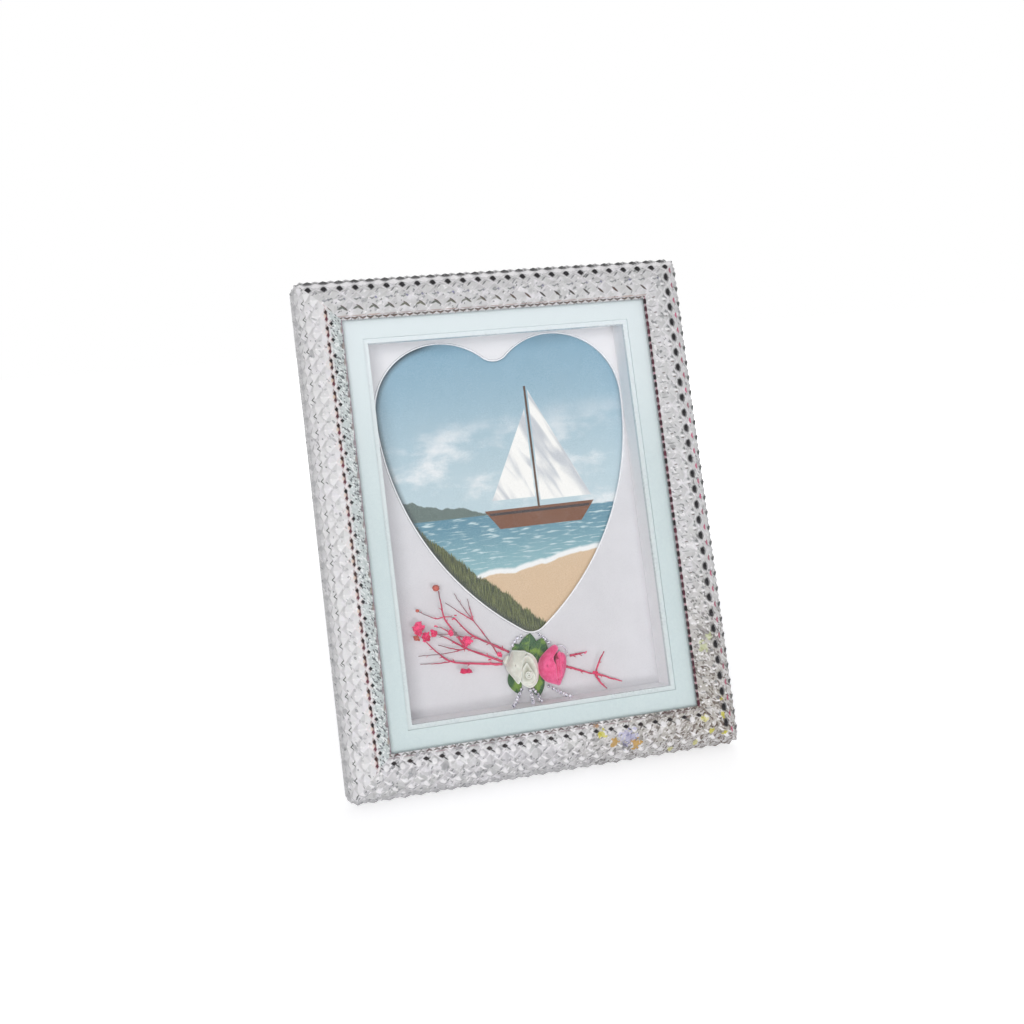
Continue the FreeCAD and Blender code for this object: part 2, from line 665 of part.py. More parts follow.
def make_bead_spray(start_share, end_share, rise_share):
    # Beads on a wire, turned about it, from start to end in shares of the flowers' reach
    bead_back = mat_front - bead_radius - leaf_lift
    start = Vector(start_share[0] * flower_reach, bead_back, flower_z + start_share[1] * flower_reach)
    end = Vector(end_share[0] * flower_reach, bead_back - rise_share * bead_rise,
                 flower_z + end_share[1] * flower_reach)
    span = end.sub(start)
    count = max(2, round(span.Length / bead_pitch))
    shoulder = math.sqrt(bead_radius ** 2 - bead_wire_radius ** 2)
    edges = []
    before = Vector(0, 0, -bead_radius)
    for i in range(count + 1):
        along = span.Length * i / count
        first = before if i == 0 else Vector(bead_wire_radius, 0, along - shoulder)
        last = Vector(0, 0, along + bead_radius) if i == count else Vector(bead_wire_radius, 0, along + shoulder)
        if i > 0:
            edges.append(Part.LineSegment(before, first).toShape())
        edges.append(Part.Arc(first, Vector(bead_radius, 0, along), last).toShape())
        before = last
    edges.append(Part.LineSegment(before, Vector(0, 0, -bead_radius)).toShape())
    spray = Part.Face(Part.Wire(edges)).revolve(Vector(0, 0, 0), UP, 360)
    spray.Placement = FreeCAD.Placement(start, FreeCAD.Rotation(UP, span)).multiply(spray.Placement)
    return spray


bead_shares = [
    ((-0.36, 0.83), (-0.55, 0.60), 0),
    ((0.24, 0.80), (0.47, 0.58), 0),
    ((-0.53, -0.64), (-0.70, -0.84), 0.8),
    ((-0.17, -0.66), (-0.21, -0.84), 1.0),
    ((0.30, -0.62), (0.66, -0.84), 0.6),
]
pieces["bead_sprays"] = Part.makeCompound([make_bead_spray(*shares) for shares in bead_shares])


# Everything leans back, the leg's foot is cut level with the floor, and the origin goes below the middle

def level_foot(shape):
    box = shape.BoundBox
    floor = block(box.XMin - overrun, box.XMax + overrun, box.YMin - overrun, box.YMax + overrun,
                  box.ZMin - overrun, 0)
    return shape.cut(floor)


for name, shape in pieces.items():
    shape.Placement = standing.multiply(shape.Placement)
pieces["easel_leg"] = level_foot(pieces["easel_leg"])
boxes = [shape.optimalBoundingBox(False) for shape in pieces.values()]
y_middle = (min(box.YMin for box in boxes) + max(box.YMax for box in boxes)) / 2
shift = Vector(0, -y_middle, 0)

os.makedirs("parts", exist_ok=True)
for name, shape in pieces.items():
    shape.translate(shift)
    print(name, len(shape.Solids), shape.isValid(), round(shape.Volume / 1000, 3))
    shape.exportStep("parts/" + name + ".step")


def on_floor(point):
    place = standing.multVec(point).add(shift)
    return tuple(round(value, 3) for value in place)


print("picture", 2 * pack_half_width, "by", pack_top - pack_bottom)
print("heart", 2 * heart_half_width, "wide, lobe and tip radius", heart_lobe_radius, heart_tip_radius)
print("hinge pin", on_floor(Vector(0, hinge_y, hinge_height)))
for name, (x, z, turn) in button_places.items():
    print(name, on_floor(Vector(x, button_front, z)))
print("lid middle", on_floor(Vector(0, lid_back, pack_middle)))
print("box middle, front and back", on_floor(Vector(0, pane_back, pack_middle)),
      on_floor(Vector(0, mat_front, pack_middle)))
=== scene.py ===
import math
import random

import bmesh
import bpy
from mathutils import Matrix, Vector, noise


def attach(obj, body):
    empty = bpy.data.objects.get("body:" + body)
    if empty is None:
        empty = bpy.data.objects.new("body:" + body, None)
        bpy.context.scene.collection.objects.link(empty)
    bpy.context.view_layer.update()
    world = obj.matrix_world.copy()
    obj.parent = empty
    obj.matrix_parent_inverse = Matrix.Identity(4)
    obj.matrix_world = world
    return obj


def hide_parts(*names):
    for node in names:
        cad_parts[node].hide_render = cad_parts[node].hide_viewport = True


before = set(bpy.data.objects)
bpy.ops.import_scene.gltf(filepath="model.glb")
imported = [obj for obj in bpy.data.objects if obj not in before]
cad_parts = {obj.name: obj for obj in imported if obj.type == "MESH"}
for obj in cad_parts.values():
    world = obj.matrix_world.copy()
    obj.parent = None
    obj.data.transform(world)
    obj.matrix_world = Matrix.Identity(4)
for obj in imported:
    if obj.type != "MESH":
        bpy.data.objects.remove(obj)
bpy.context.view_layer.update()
print("frame loaded:", len(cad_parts), "nodes")

# The frame is drawn upright in millimetres: x right, y to the back, z up, y = 0 on the moulding's back.
# toRoom leans it back, stands it on the floor and turns it into metres.
stand = {"lean": 18.0, "halfWidth": 101.5, "halfHeight": 129.5, "backShift": 10.048, "unit": 0.001}
lean = math.radians(stand["lean"])
toRoom = (Matrix.Scale(stand["unit"], 4)
          @ Matrix.Translation((0, -stand["backShift"], stand["halfHeight"] * math.cos(lean)))
          @ Matrix.Rotation(-lean, 4, "X"))


# Meshes

def addPiece(name, node, points, faces, looks, picks=None):
    # A new piece from points of the upright drawing, in place of a node of the frame
    mesh = bpy.data.meshes.new(name)
    mesh.from_pydata([toRoom @ Vector(point) for point in points], [], faces)
    return addObject(name, node, mesh, looks, picks)


def addObject(name, node, mesh, looks, picks=None, smooth=True):
    for look in looks:
        mesh.materials.append(look)
    if picks:
        mesh.polygons.foreach_set("material_index", picks)
    mesh.polygons.foreach_set("use_smooth", [smooth] * len(mesh.polygons))
    mesh.update()
    piece = bpy.data.objects.new(name, mesh)
    bpy.context.scene.collection.objects.link(piece)
    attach(piece, "frame")
    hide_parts(node)
    return piece


def thicken(piece, millimetres, offset=-1.0):
    sheet = piece.modifiers.new("thickness", "SOLIDIFY")
    sheet.thickness = millimetres * stand["unit"]
    sheet.offset = offset


def markPoints(piece, name, kind, values):
    # Values for every point, which a material reads by their name
    field = "vector" if kind == "FLOAT_VECTOR" else "value"
    piece.data.attributes.new(name, kind, "POINT").data.foreach_set(field, values)


def anglesRound(count):
    return [2 * math.pi * k / count for k in range(count)]


def addGrid(points, faces, rows, closed=False):
    # Rows of points joined by four-sided faces, added to a mesh's lists
    start = len(points)
    across = len(rows[0])
    for row in rows:
        points.extend(row)
    for i in range(len(rows) - 1):
        low, high = start + i * across, start + (i + 1) * across
        for j in range(across if closed else across - 1):
            after = (j + 1) % across
            faces.append((low + j, low + after, high + after, high + j))


def smoothRoute(knots, steps):
    # A soft curve through every knot
    route = []
    for i in range(len(knots) - 1):
        before, start = knots[max(i - 1, 0)], knots[i]
        end, after = knots[i + 1], knots[min(i + 2, len(knots) - 1)]
        for step in range(steps):
            t = step / steps
            route.append(0.5 * (2 * start + (end - before) * t
                                + (2 * before - 5 * start + 4 * end - after) * t ** 2
                                + (3 * start - before - 3 * end + after) * t ** 3))
    route.append(knots[-1])
    return route


def addTube(points, faces, route, radii, sides=8):
    # A round tube along a route, closed at both ends
    side = None
    rows = []
    for i, spot in enumerate(route):
        ahead = (route[min(i + 1, len(route) - 1)] - route[max(i - 1, 0)]).normalized()
        side = side or ahead.orthogonal().normalized()
        side = (side - ahead * side.dot(ahead)).normalized()
        other = ahead.cross(side)
        rows.append([spot + radii[i] * (math.cos(a) * side + math.sin(a) * other)
                     for a in anglesRound(sides)])
    start = len(points)
    addGrid(points, faces, rows, closed=True)
    faces.append(tuple(range(start + sides - 1, start - 1, -1)))
    end = len(points)
    faces.append(tuple(range(end - sides, end)))


def addBall(points, faces, middle, radius, shape=lambda way: 1.0, rings=8, sides=12):
    # A ball whose radius can change with direction
    start = len(points)
    rows = []
    for tilt in (math.pi * i / rings for i in range(1, rings)):
        ways = [Vector((math.sin(tilt) * math.cos(turn), math.sin(tilt) * math.sin(turn), math.cos(tilt)))
                for turn in anglesRound(sides)]
        rows.append([middle + radius * shape(way) * way for way in ways])
    addGrid(points, faces, rows, closed=True)
    points.extend(middle + radius * shape(way) * way for way in (Vector((0, 0, 1)), Vector((0, 0, -1))))
    top, bottom = len(points) - 2, len(points) - 1
    last = start + (rings - 2) * sides
    for k in range(sides):
        after = (k + 1) % sides
        faces += [(top, start + after, start + k), (bottom, last + k, last + after)]


# Materials

class Signal:
    # What one node hands on to the next: sums of signals and numbers become Math nodes
    def __init__(self, socket):
        self.socket = socket

    def __add__(self, other):
        return maths("ADD", self, other)

    def __radd__(self, other):
        return maths("ADD", other, self)

    def __sub__(self, other):
        return maths("SUBTRACT", self, other)

    def __rsub__(self, other):
        return maths("SUBTRACT", other, self)

    def __mul__(self, other):
        return maths("MULTIPLY", self, other)

    def __rmul__(self, other):
        return maths("MULTIPLY", other, self)

    def __truediv__(self, other):
        return maths("DIVIDE", self, other)

    def __abs__(self):
        return maths("ABSOLUTE", self)


def rgb(colour):
    # Screen values from 0 to 255, as the shader's linear colour
    channels = [c / 255 for c in colour]
    return tuple(c / 12.92 if c <= 0.04045 else ((c + 0.055) / 1.055) ** 2.4 for c in channels) + (1.0,)


def fill(socket, value):
    # A link from a signal, or a plain number, vector or colour
    if isinstance(value, Signal):
        socket.id_data.links.new(value.socket, socket)
    else:
        socket.default_value = rgb(value) if socket.type == "RGBA" else value


def fillAll(sockets, values):
    # Entries that start with a capital go to the sockets of those names
    for label, value in values.items():
        if label[0].isupper():
            fill(sockets[label], value)


def addNode(tree, kind, inputs=(), **settings):
    node = tree.nodes.new("ShaderNode" + kind)
    for key, value in settings.items():
        setattr(node, key, value)
    for key, value in inputs.items() if isinstance(inputs, dict) else enumerate(inputs):
        fill(node.inputs[key], value)
    return node


def signal(tree, kind, inputs=(), out=0, **settings):
    return Signal(addNode(tree, kind, inputs, **settings).outputs[out])


def treeOf(*values):
    return next(value.socket.id_data for value in values if isinstance(value, Signal))


def maths(operation, *values):
    return signal(treeOf(*values), "Math", values, operation=operation)


def vectorMaths(operation, *values, out=0):
    return signal(treeOf(*values), "VectorMath", values, out, operation=operation)


def split(vector):
    return [Signal(socket) for socket in addNode(treeOf(vector), "SeparateXYZ", [vector]).outputs]


def mixed(share, first, second):
    # Between two colours, by a share from 0 to 1
    return signal(treeOf(share), "Mix", {0: share, 6: first, 7: second}, out=2, data_type="RGBA")


def smoothStep(value, low, high):
    return signal(treeOf(value), "MapRange", [value, low, high, 0.0, 1.0], interpolation_type="SMOOTHSTEP")


def ranged(value, low, high, start=0.0, end=1.0):
    return signal(treeOf(value), "MapRange", [value, start, end, low, high])


def noiseAt(spot, scale, detail=2.0, **more):
    inputs = {"Vector": spot, "Scale": scale, "Detail": detail, **more}
    return signal(treeOf(spot), "TexNoise", inputs, out="Fac")


def cellsAt(spot, scale):
    # Three chances for each cell
    return split(signal(treeOf(spot), "TexVoronoi", {"Vector": spot, "Scale": scale}, out="Color"))


def chanceAt(*numbers):
    tree = treeOf(*numbers)
    spot = signal(tree, "CombineXYZ", numbers)
    return signal(tree, "TexWhiteNoise", {"Vector": spot}, out="Value", noise_dimensions="3D")


def turnedBy(vector, angle, axis, middle=(0.0, 0.0, 0.0)):
    return signal(treeOf(vector), "VectorRotate", {"Vector": vector, "Angle": angle, "Center": middle},
                  rotation_type=axis + "_AXIS")


def bumped(height, strength, distance):
    return signal(treeOf(height), "Bump", {"Strength": strength, "Distance": distance, "Height": height})


def placeIn(tree):
    return signal(tree, "TexCoord", out="Object")


def valueOf(tree, name, out="Fac"):
    return signal(tree, "Attribute", out=out, attribute_name=name)


def newGroup(name, **inputs):
    # An effect for several materials: each input's start value, or None for a vector that is always linked
    tree = bpy.data.node_groups.new(name, "ShaderNodeTree")
    for label, value in inputs.items():
        kind = "NodeSocketFloat" if isinstance(value, float) else "NodeSocketVector"
        socket = tree.interface.new_socket(name=label, in_out="INPUT", socket_type=kind)
        if value is not None:
            socket.default_value = value
    given = tree.nodes.new("NodeGroupInput").outputs
    return tree, [Signal(given[label]) for label in inputs]


def closeGroup(tree, **outputs):
    for label, value in outputs.items():
        kind = "NodeSocketVector" if value.socket.type == "VECTOR" else "NodeSocketFloat"
        tree.interface.new_socket(name=label, in_out="OUTPUT", socket_type=kind)
    fillAll(tree.nodes.new("NodeGroupOutput").inputs, outputs)
    return tree


def placeGroup(tree, group, **inputs):
    node = tree.nodes.new("ShaderNodeGroup")
    node.node_tree = group
    fillAll(node.inputs, inputs)
    return [Signal(socket) for socket in node.outputs]


def makeGrainGroup():
    # Two sizes of soft grain: a mask for tone and a height for bump
    tree, (spot, scale, stretch) = newGroup("fineGrain", Place=None, Scale=900.0, Stretch=(1.0, 1.0, 1.0))
    drawn = vectorMaths("MULTIPLY", spot, stretch)
    fine, broad = noiseAt(drawn, scale, 3.0), noiseAt(drawn, scale * 0.05)
    return closeGroup(tree, Tone=smoothStep(broad * 0.5 + fine * 0.5, 0.36, 0.64), Height=fine)


def makeUprightGroup():
    # From a place in the room back to the upright drawing, in millimetres
    tree, (spot,) = newGroup("uprightPlace", Place=None)
    turned = turnedBy(vectorMaths("SUBTRACT", spot, toRoom.translation), lean, "X")
    return closeGroup(tree, Spot=vectorMaths("MULTIPLY", turned, (1 / stand["unit"],) * 3))


fineGrain, uprightPlace = makeGrainGroup(), makeUprightGroup()


def newLook(name):
    look = bpy.data.materials.new(name)
    look.use_nodes = True
    return look, look.node_tree, look.node_tree.nodes["Principled BSDF"].inputs


def uprightIn(tree):
    return placeGroup(tree, uprightPlace, Place=placeIn(tree))[0]


def plainTones(tree, tone, finish):
    return mixed(tone, *finish["tones"])


def makeLook(name, finish, paint=plainTones):
    # A finish with soft grain in its colour, shine and surface
    look, tree, shader = newLook(name)
    tone, height = placeGroup(tree, fineGrain, Place=placeIn(tree), Scale=finish["scale"],
                              Stretch=finish.get("stretch", (1.0, 1.0, 1.0)))
    fill(shader["Base Color"], paint(tree, tone, finish))
    if "rough" in finish:
        fill(shader["Roughness"], ranged(tone, *finish["rough"]))
    if "bump" in finish:
        fill(shader["Normal"], bumped(height, *finish["bump"]))
    fillAll(shader, finish)
    return look


# Camera at the photograph's viewing angle

camera = {"place": (-0.08912, -0.46456, 0.24575), "turn": (75.586, 3.611, -11.740), "lens": 32.695,
          "sensor": 36.0, "near": 0.01}
lens = bpy.data.cameras.new("camera")
lens.lens = camera["lens"]
lens.sensor_width = camera["sensor"]
lens.clip_start = camera["near"]
viewer = bpy.data.objects.new("camera", lens)
viewer.location = camera["place"]
viewer.rotation_euler = [math.radians(a) for a in camera["turn"]]
bpy.context.scene.collection.objects.link(viewer)
bpy.context.scene.camera = viewer
bpy.context.scene.view_settings.view_transform = "Standard"
print("camera placed")


# Clear moulding cut in diamonds: rows run across the band from its inner edge, columns along it

cut = {
    "bandWidth": 24.1, "wallHeight": 5.0, "shoulder": (6.0, 15.2), "crown": (14.5, 19.8),
    "lipHeight": 17.4, "lipThickness": 1.6, "lipWidth": 3.0, "cornerRadius": 5.5, "arcSteps": 60,
    "firstRow": 2.8, "rowStep": 4.1, "rows": 9, "cornerShift": 1.7, "grooveDepth": 1.25, "bevel": 0.13,
    "backInset": 0.3, "pitches": (52, 64),  # half pitches across and down
    "sharpAngle": 0.1, "shortEdge": 0.01,
}


def bandProfile():
    # Points of the band's outline, from its lip over the crown and down the outer wall: place and height
    crownIn, crownHigh = cut["crown"]
    run, drop = cut["bandWidth"] - crownIn, crownHigh - cut["lipHeight"]
    fall = (run ** 2 + drop ** 2) / (2 * drop)
    steps = cut["arcSteps"]
    profile = []
    for i in range(steps):
        angle = math.asin(run / fall) * (1 - i / steps)
        profile.append((crownIn + fall * math.sin(angle), crownHigh - fall * (1 - math.cos(angle))))
    # Circle through the wall's top, the shoulder and the crown
    (ax, ay), (bx, by), (cx, cy) = spots = (0.0, cut["wallHeight"]), cut["shoulder"], cut["crown"]
    twice = 2 * (ax * (by - cy) + bx * (cy - ay) + cx * (ay - by))
    squares = [x ** 2 + y ** 2 for x, y in spots]
    ux = (squares[0] * (by - cy) + squares[1] * (cy - ay) + squares[2] * (ay - by)) / twice
    uy = (squares[0] * (cx - bx) + squares[1] * (ax - cx) + squares[2] * (bx - ax)) / twice
    radius = math.hypot(ax - ux, ay - uy)
    start, end = math.atan2(cy - uy, cx - ux), math.atan2(ay - uy, ax - ux)
    for i in range(steps + 1):
        angle = start + (end - start) * i / steps
        profile.append((ux + radius * math.cos(angle), uy + radius * math.sin(angle)))
    profile.append((0.0, 0.0))
    lengths = [0.0]
    for (x0, y0), (x1, y1) in zip(profile, profile[1:]):
        lengths.append(lengths[-1] + math.hypot(x1 - x0, y1 - y0))
    return profile, lengths


profile, profileLengths = bandProfile()


def bandAt(along):
    # Place, height and outward direction at a distance along the profile
    along = min(max(along, 0.0), profileLengths[-1] - 1e-6)
    i = max(k for k in range(len(profile) - 1) if profileLengths[k] <= along)
    (x0, y0), (x1, y1) = profile[i], profile[i + 1]
    share = (along - profileLengths[i]) / (profileLengths[i + 1] - profileLengths[i])
    step = math.hypot(x1 - x0, y1 - y0)
    return (x0 + (x1 - x0) * share, y0 + (y1 - y0) * share), ((y1 - y0) / step, -(x1 - x0) / step)


def rowAt(inward, height):
    # The nearest place on the profile, counted in rows
    gaps = [(x - inward) ** 2 + (up - height) ** 2 for x, up in profile]
    return (profileLengths[gaps.index(min(gaps))] - cut["firstRow"]) / cut["rowStep"]


def columnStep(length, pitches):
    return (length - 2 * cut["cornerShift"]) / pitches


def cutBar(length, distance, pitches):
    # One side of the moulding, with its outer edge below: half of the lattice points are raised
    bar = bmesh.new()
    columns = range(-3, pitches + 4)
    rows = range(-1, cut["rows"] + 1)
    grid = {}
    for row in rows:
        (inward, height), (outIn, outUp) = bandAt(cut["firstRow"] + cut["rowStep"] * row)
        for column in columns:
            raised = (row + column) % 2 == 0
            depth = 0 if raised else cut["grooveDepth"]
            if row in (rows[0], rows[-1]):
                depth = 0 if raised or row > 0 else cut["backInset"]
            x = cut["cornerShift"] + columnStep(length, pitches) * column - length / 2
            spot = (x, -(height - outUp * depth), inward - outIn * depth - distance)
            grid[row, column] = bar.verts.new(spot)
    for row, column in grid:
        if (row + column) % 2:
            continue
        around = [grid.get(key) for key in
                  ((row + 1, column), (row, column + 1), (row - 1, column), (row, column - 1))]
        for first, second in zip(around, around[1:] + around[:1]):
            if first and second:
                bar.faces.new((grid[row, column], first, second))
    # Lip, pocket and back close the bar
    lip, back = cut["bandWidth"], cut["lipHeight"] - cut["lipThickness"]
    pocket = lip - cut["lipWidth"]
    edge = [grid[-1, column] for column in columns]
    for inward, height in ((lip, back), (pocket, back), (pocket, 0.0), (cut["backInset"], 0.0)):
        row = [bar.verts.new((vertex.co.x, -height, inward - distance)) for vertex in edge]
        for i in range(len(row) - 1):
            bar.faces.new((edge[i], edge[i + 1], row[i + 1], row[i]))
        edge = row
    # Mitred ends
    for end in (-1, 1):
        bmesh.ops.bisect_plane(bar, geom=bar.verts[:] + bar.edges[:] + bar.faces[:], clear_outer=True,
                               plane_co=(end * length / 2, 0, -distance), plane_no=(end, 0, 1))
    return bar


def makeMoulding(looks):
    halves = (stand["halfWidth"], stand["halfHeight"])
    bars = [(math.pi / 2 * k, 2 * halves[k % 2], halves[1 - k % 2], cut["pitches"][k % 2]) for k in range(4)]
    whole = bmesh.new()
    for quarter, (turn, length, distance, pitches) in enumerate(bars):
        bar = cutBar(length, distance, pitches)
        for face in bar.faces:
            face.material_index = quarter
        bar.transform(Matrix.Rotation(-turn, 4, "Y"))
        part = bpy.data.meshes.new("bar")
        bar.to_mesh(part)
        whole.from_mesh(part)
        bpy.data.meshes.remove(part)
        bar.free()
    corner = [half - cut["cornerRadius"] for half in halves]
    mitre = []
    for vertex in whole.verts:
        x, z = vertex.co.x, vertex.co.z
        if abs((halves[0] - abs(x)) - (halves[1] - abs(z))) < cut["bevel"]:
            mitre.append(vertex)
        beyond = (abs(x) - corner[0], abs(z) - corner[1])
        if min(beyond) > 0:
            share = max(beyond) / math.hypot(*beyond)
            vertex.co.x = math.copysign(corner[0] + beyond[0] * share, x)
            vertex.co.z = math.copysign(corner[1] + beyond[1] * share, z)
    bmesh.ops.remove_doubles(whole, verts=mitre, dist=cut["rowStep"] / 8)
    bmesh.ops.dissolve_degenerate(whole, edges=whole.edges[:], dist=cut["shortEdge"])
    bmesh.ops.recalc_face_normals(whole, faces=whole.faces[:])
    sharp = [edge for edge in whole.edges
             if len(edge.link_faces) == 2 and edge.calc_face_angle() > cut["sharpAngle"]]
    bmesh.ops.bevel(whole, geom=sharp, offset=cut["bevel"], segments=1, affect="EDGES", material=-1)
    for vertex in whole.verts:
        vertex.co.x = max(-halves[0], min(vertex.co.x, halves[0]))
        vertex.co.z = max(-halves[1], min(vertex.co.z, halves[1]))
        vertex.co.y = min(vertex.co.y, 0.0)
    mesh = bpy.data.meshes.new("cut_moulding")
    whole.to_mesh(mesh)
    whole.free()
    # Every face corner gets its column and row in the lattice
    values = []
    known = {}
    for face in mesh.polygons:
        quarter = face.material_index
        turn, length, distance, pitches = bars[quarter]
        for index in face.vertices:
            if (index, quarter) not in known:
                spot = Matrix.Rotation(turn, 4, "Y") @ mesh.vertices[index].co
                column = (spot.x + length / 2 - cut["cornerShift"]) / columnStep(length, pitches)
                known[index, quarter] = (column, rowAt(spot.z + distance, -spot.y), float(quarter))
            values.extend(known[index, quarter])
    mesh.attributes.new("lattice", "FLOAT_VECTOR", "CORNER").data.foreach_set("vector", values)
    mesh.transform(toRoom)
    picks = [face.material_index for face in mesh.polygons]
    return addObject("cut_moulding", "crystal_moulding", mesh, looks, picks, smooth=False)


def makeMarkGroup():
    # A painted dark reflection or bright highlight that repeats along a row: its middle, half sizes, slant
    # and shape
    tree, given = newGroup("latticeMark", Lattice=None, Column=0.0, Row=0.0, Period=2.0, HalfAlong=0.3,
                           HalfAcross=0.2, Slant=0.0, Fold=0.0, Shape=2.0)
    lattice, middle, line, period, halfAlong, halfAcross, slant, fold, shape = given
    column, row, side = split(lattice)
    shifted = column - middle
    along = maths("WRAP", shifted, period * 0.5, period * -0.5)
    across = row - line - along * slant - abs(along) * fold
    powers = [maths("POWER", abs(share), shape) for share in (along / halfAlong, across / halfAcross)]
    reach = maths("POWER", powers[0] + powers[1], maths("DIVIDE", 1.0, shape))
    count = maths("FLOOR", shifted / period + 0.5)
    return closeGroup(tree, Mask=1 - smoothStep(reach, 0.7, 1.25), Chance=chanceAt(count, line, side))


def makeCellGroup():
    # The diamonds of the lattice: their edges, a chance for each, and which of the four facets a point is on
    tree, (lattice, line) = newGroup("latticeCells", Lattice=None, Line=0.04)
    column, row, side = split(lattice)
    pair = [(diagonal - 1.0) * 0.5 for diagonal in (column + row, column - row)]
    nearest = maths("MINIMUM", *[maths("PINGPONG", value, 0.5) for value in pair])
    chance = chanceAt(*[maths("FLOOR", value) for value in pair], side)
    first, second = [maths("FRACT", value) - 0.5 for value in pair]
    ahead, outward = [smoothStep(value, -0.04, 0.04) for value in (first + second, first - second)]
    return closeGroup(tree, Edge=1 - smoothStep(nearest, line, line * 2.0), Chance=chance, Ahead=ahead,
                      Outward=outward)


def makeGlintGroup():
    # A painted glint: a ragged coloured spot at one place of the upright drawing
    tree, (spot, middle, radius) = newGroup("paintedGlint", Spot=None, Middle=(0.0, 0.0, 0.0), Radius=1.0)
    flat = vectorMaths("MULTIPLY", spot, (1.0, 0.0, 1.0))
    reach = radius * (0.45 + cellsAt(flat, 0.75)[0])
    away = vectorMaths("DISTANCE", flat, middle, out="Value")
    return closeGroup(tree, Mask=smoothStep(reach - away, 0.0, 0.3))


def makeShardGroup():
    # Small sharp fragments of painted reflection, light and dark, more of them where Share is higher
    tree, (lattice, scale, share) = newGroup("latticeShards", Lattice=None, Scale=2.0, Share=0.1)
    stretched = vectorMaths("MULTIPLY", turnedBy(lattice, 0.7, "Z"), (1.0, 1.7, 1.0))
    chance, tone, _ = cellsAt(stretched, scale)
    half = share * 0.5
    soft = half + 0.02
    some = maths("GREATER_THAN", share, 0.001)
    return closeGroup(tree, Dark=(1 - smoothStep(chance, half, soft)) * some,
                      Bright=smoothStep(chance, 1 - soft, 1 - half) * some, Tone=tone)


latticeMark, latticeCells, latticeShards = makeMarkGroup(), makeCellGroup(), makeShardGroup()
paintedGlint = makeGlintGroup()
ink, smoke, brown, maroon, plum = (22, 20, 24), (104, 108, 106), (84, 52, 44), (112, 44, 62), (184, 72, 112)
white, olive, steel, violet = (252, 250, 252), (122, 122, 108), (146, 148, 152), (86, 82, 150)
gold, amber = (214, 206, 52), (206, 158, 44)
# Settings of the painted reflections and highlights on the cut facets, and the plastic's shine
facets = {
    "line": 0.035, "cloud": (236, 234, 238), "outerWall": (188, 188, 190), "edge": (240, 237, 241),
    "stripDark": (104, 112, 114), "stripBright": (240, 244, 244), "stripScale": 3.8,
    # Shards: size and strength of each layer. Rows: from the crown to the outer wall, and to the inner side.
    "shards": ((1.1, 0.5), (2.3, 0.7), (3.4, 0.8)), "outerRows": (4.6, 6.2), "innerRows": (4.6, 2.6),
    "tintShare": 0.5, "cloudScale": 0.9, "cloudCover": (0.5, 0.72), "wallShare": 0.5, "edgeShare": 0.7,
    "Roughness": 0.12, "IOR": 1.5, "Specular IOR Level": 0.25, "Transmission Weight": 0.2,
}
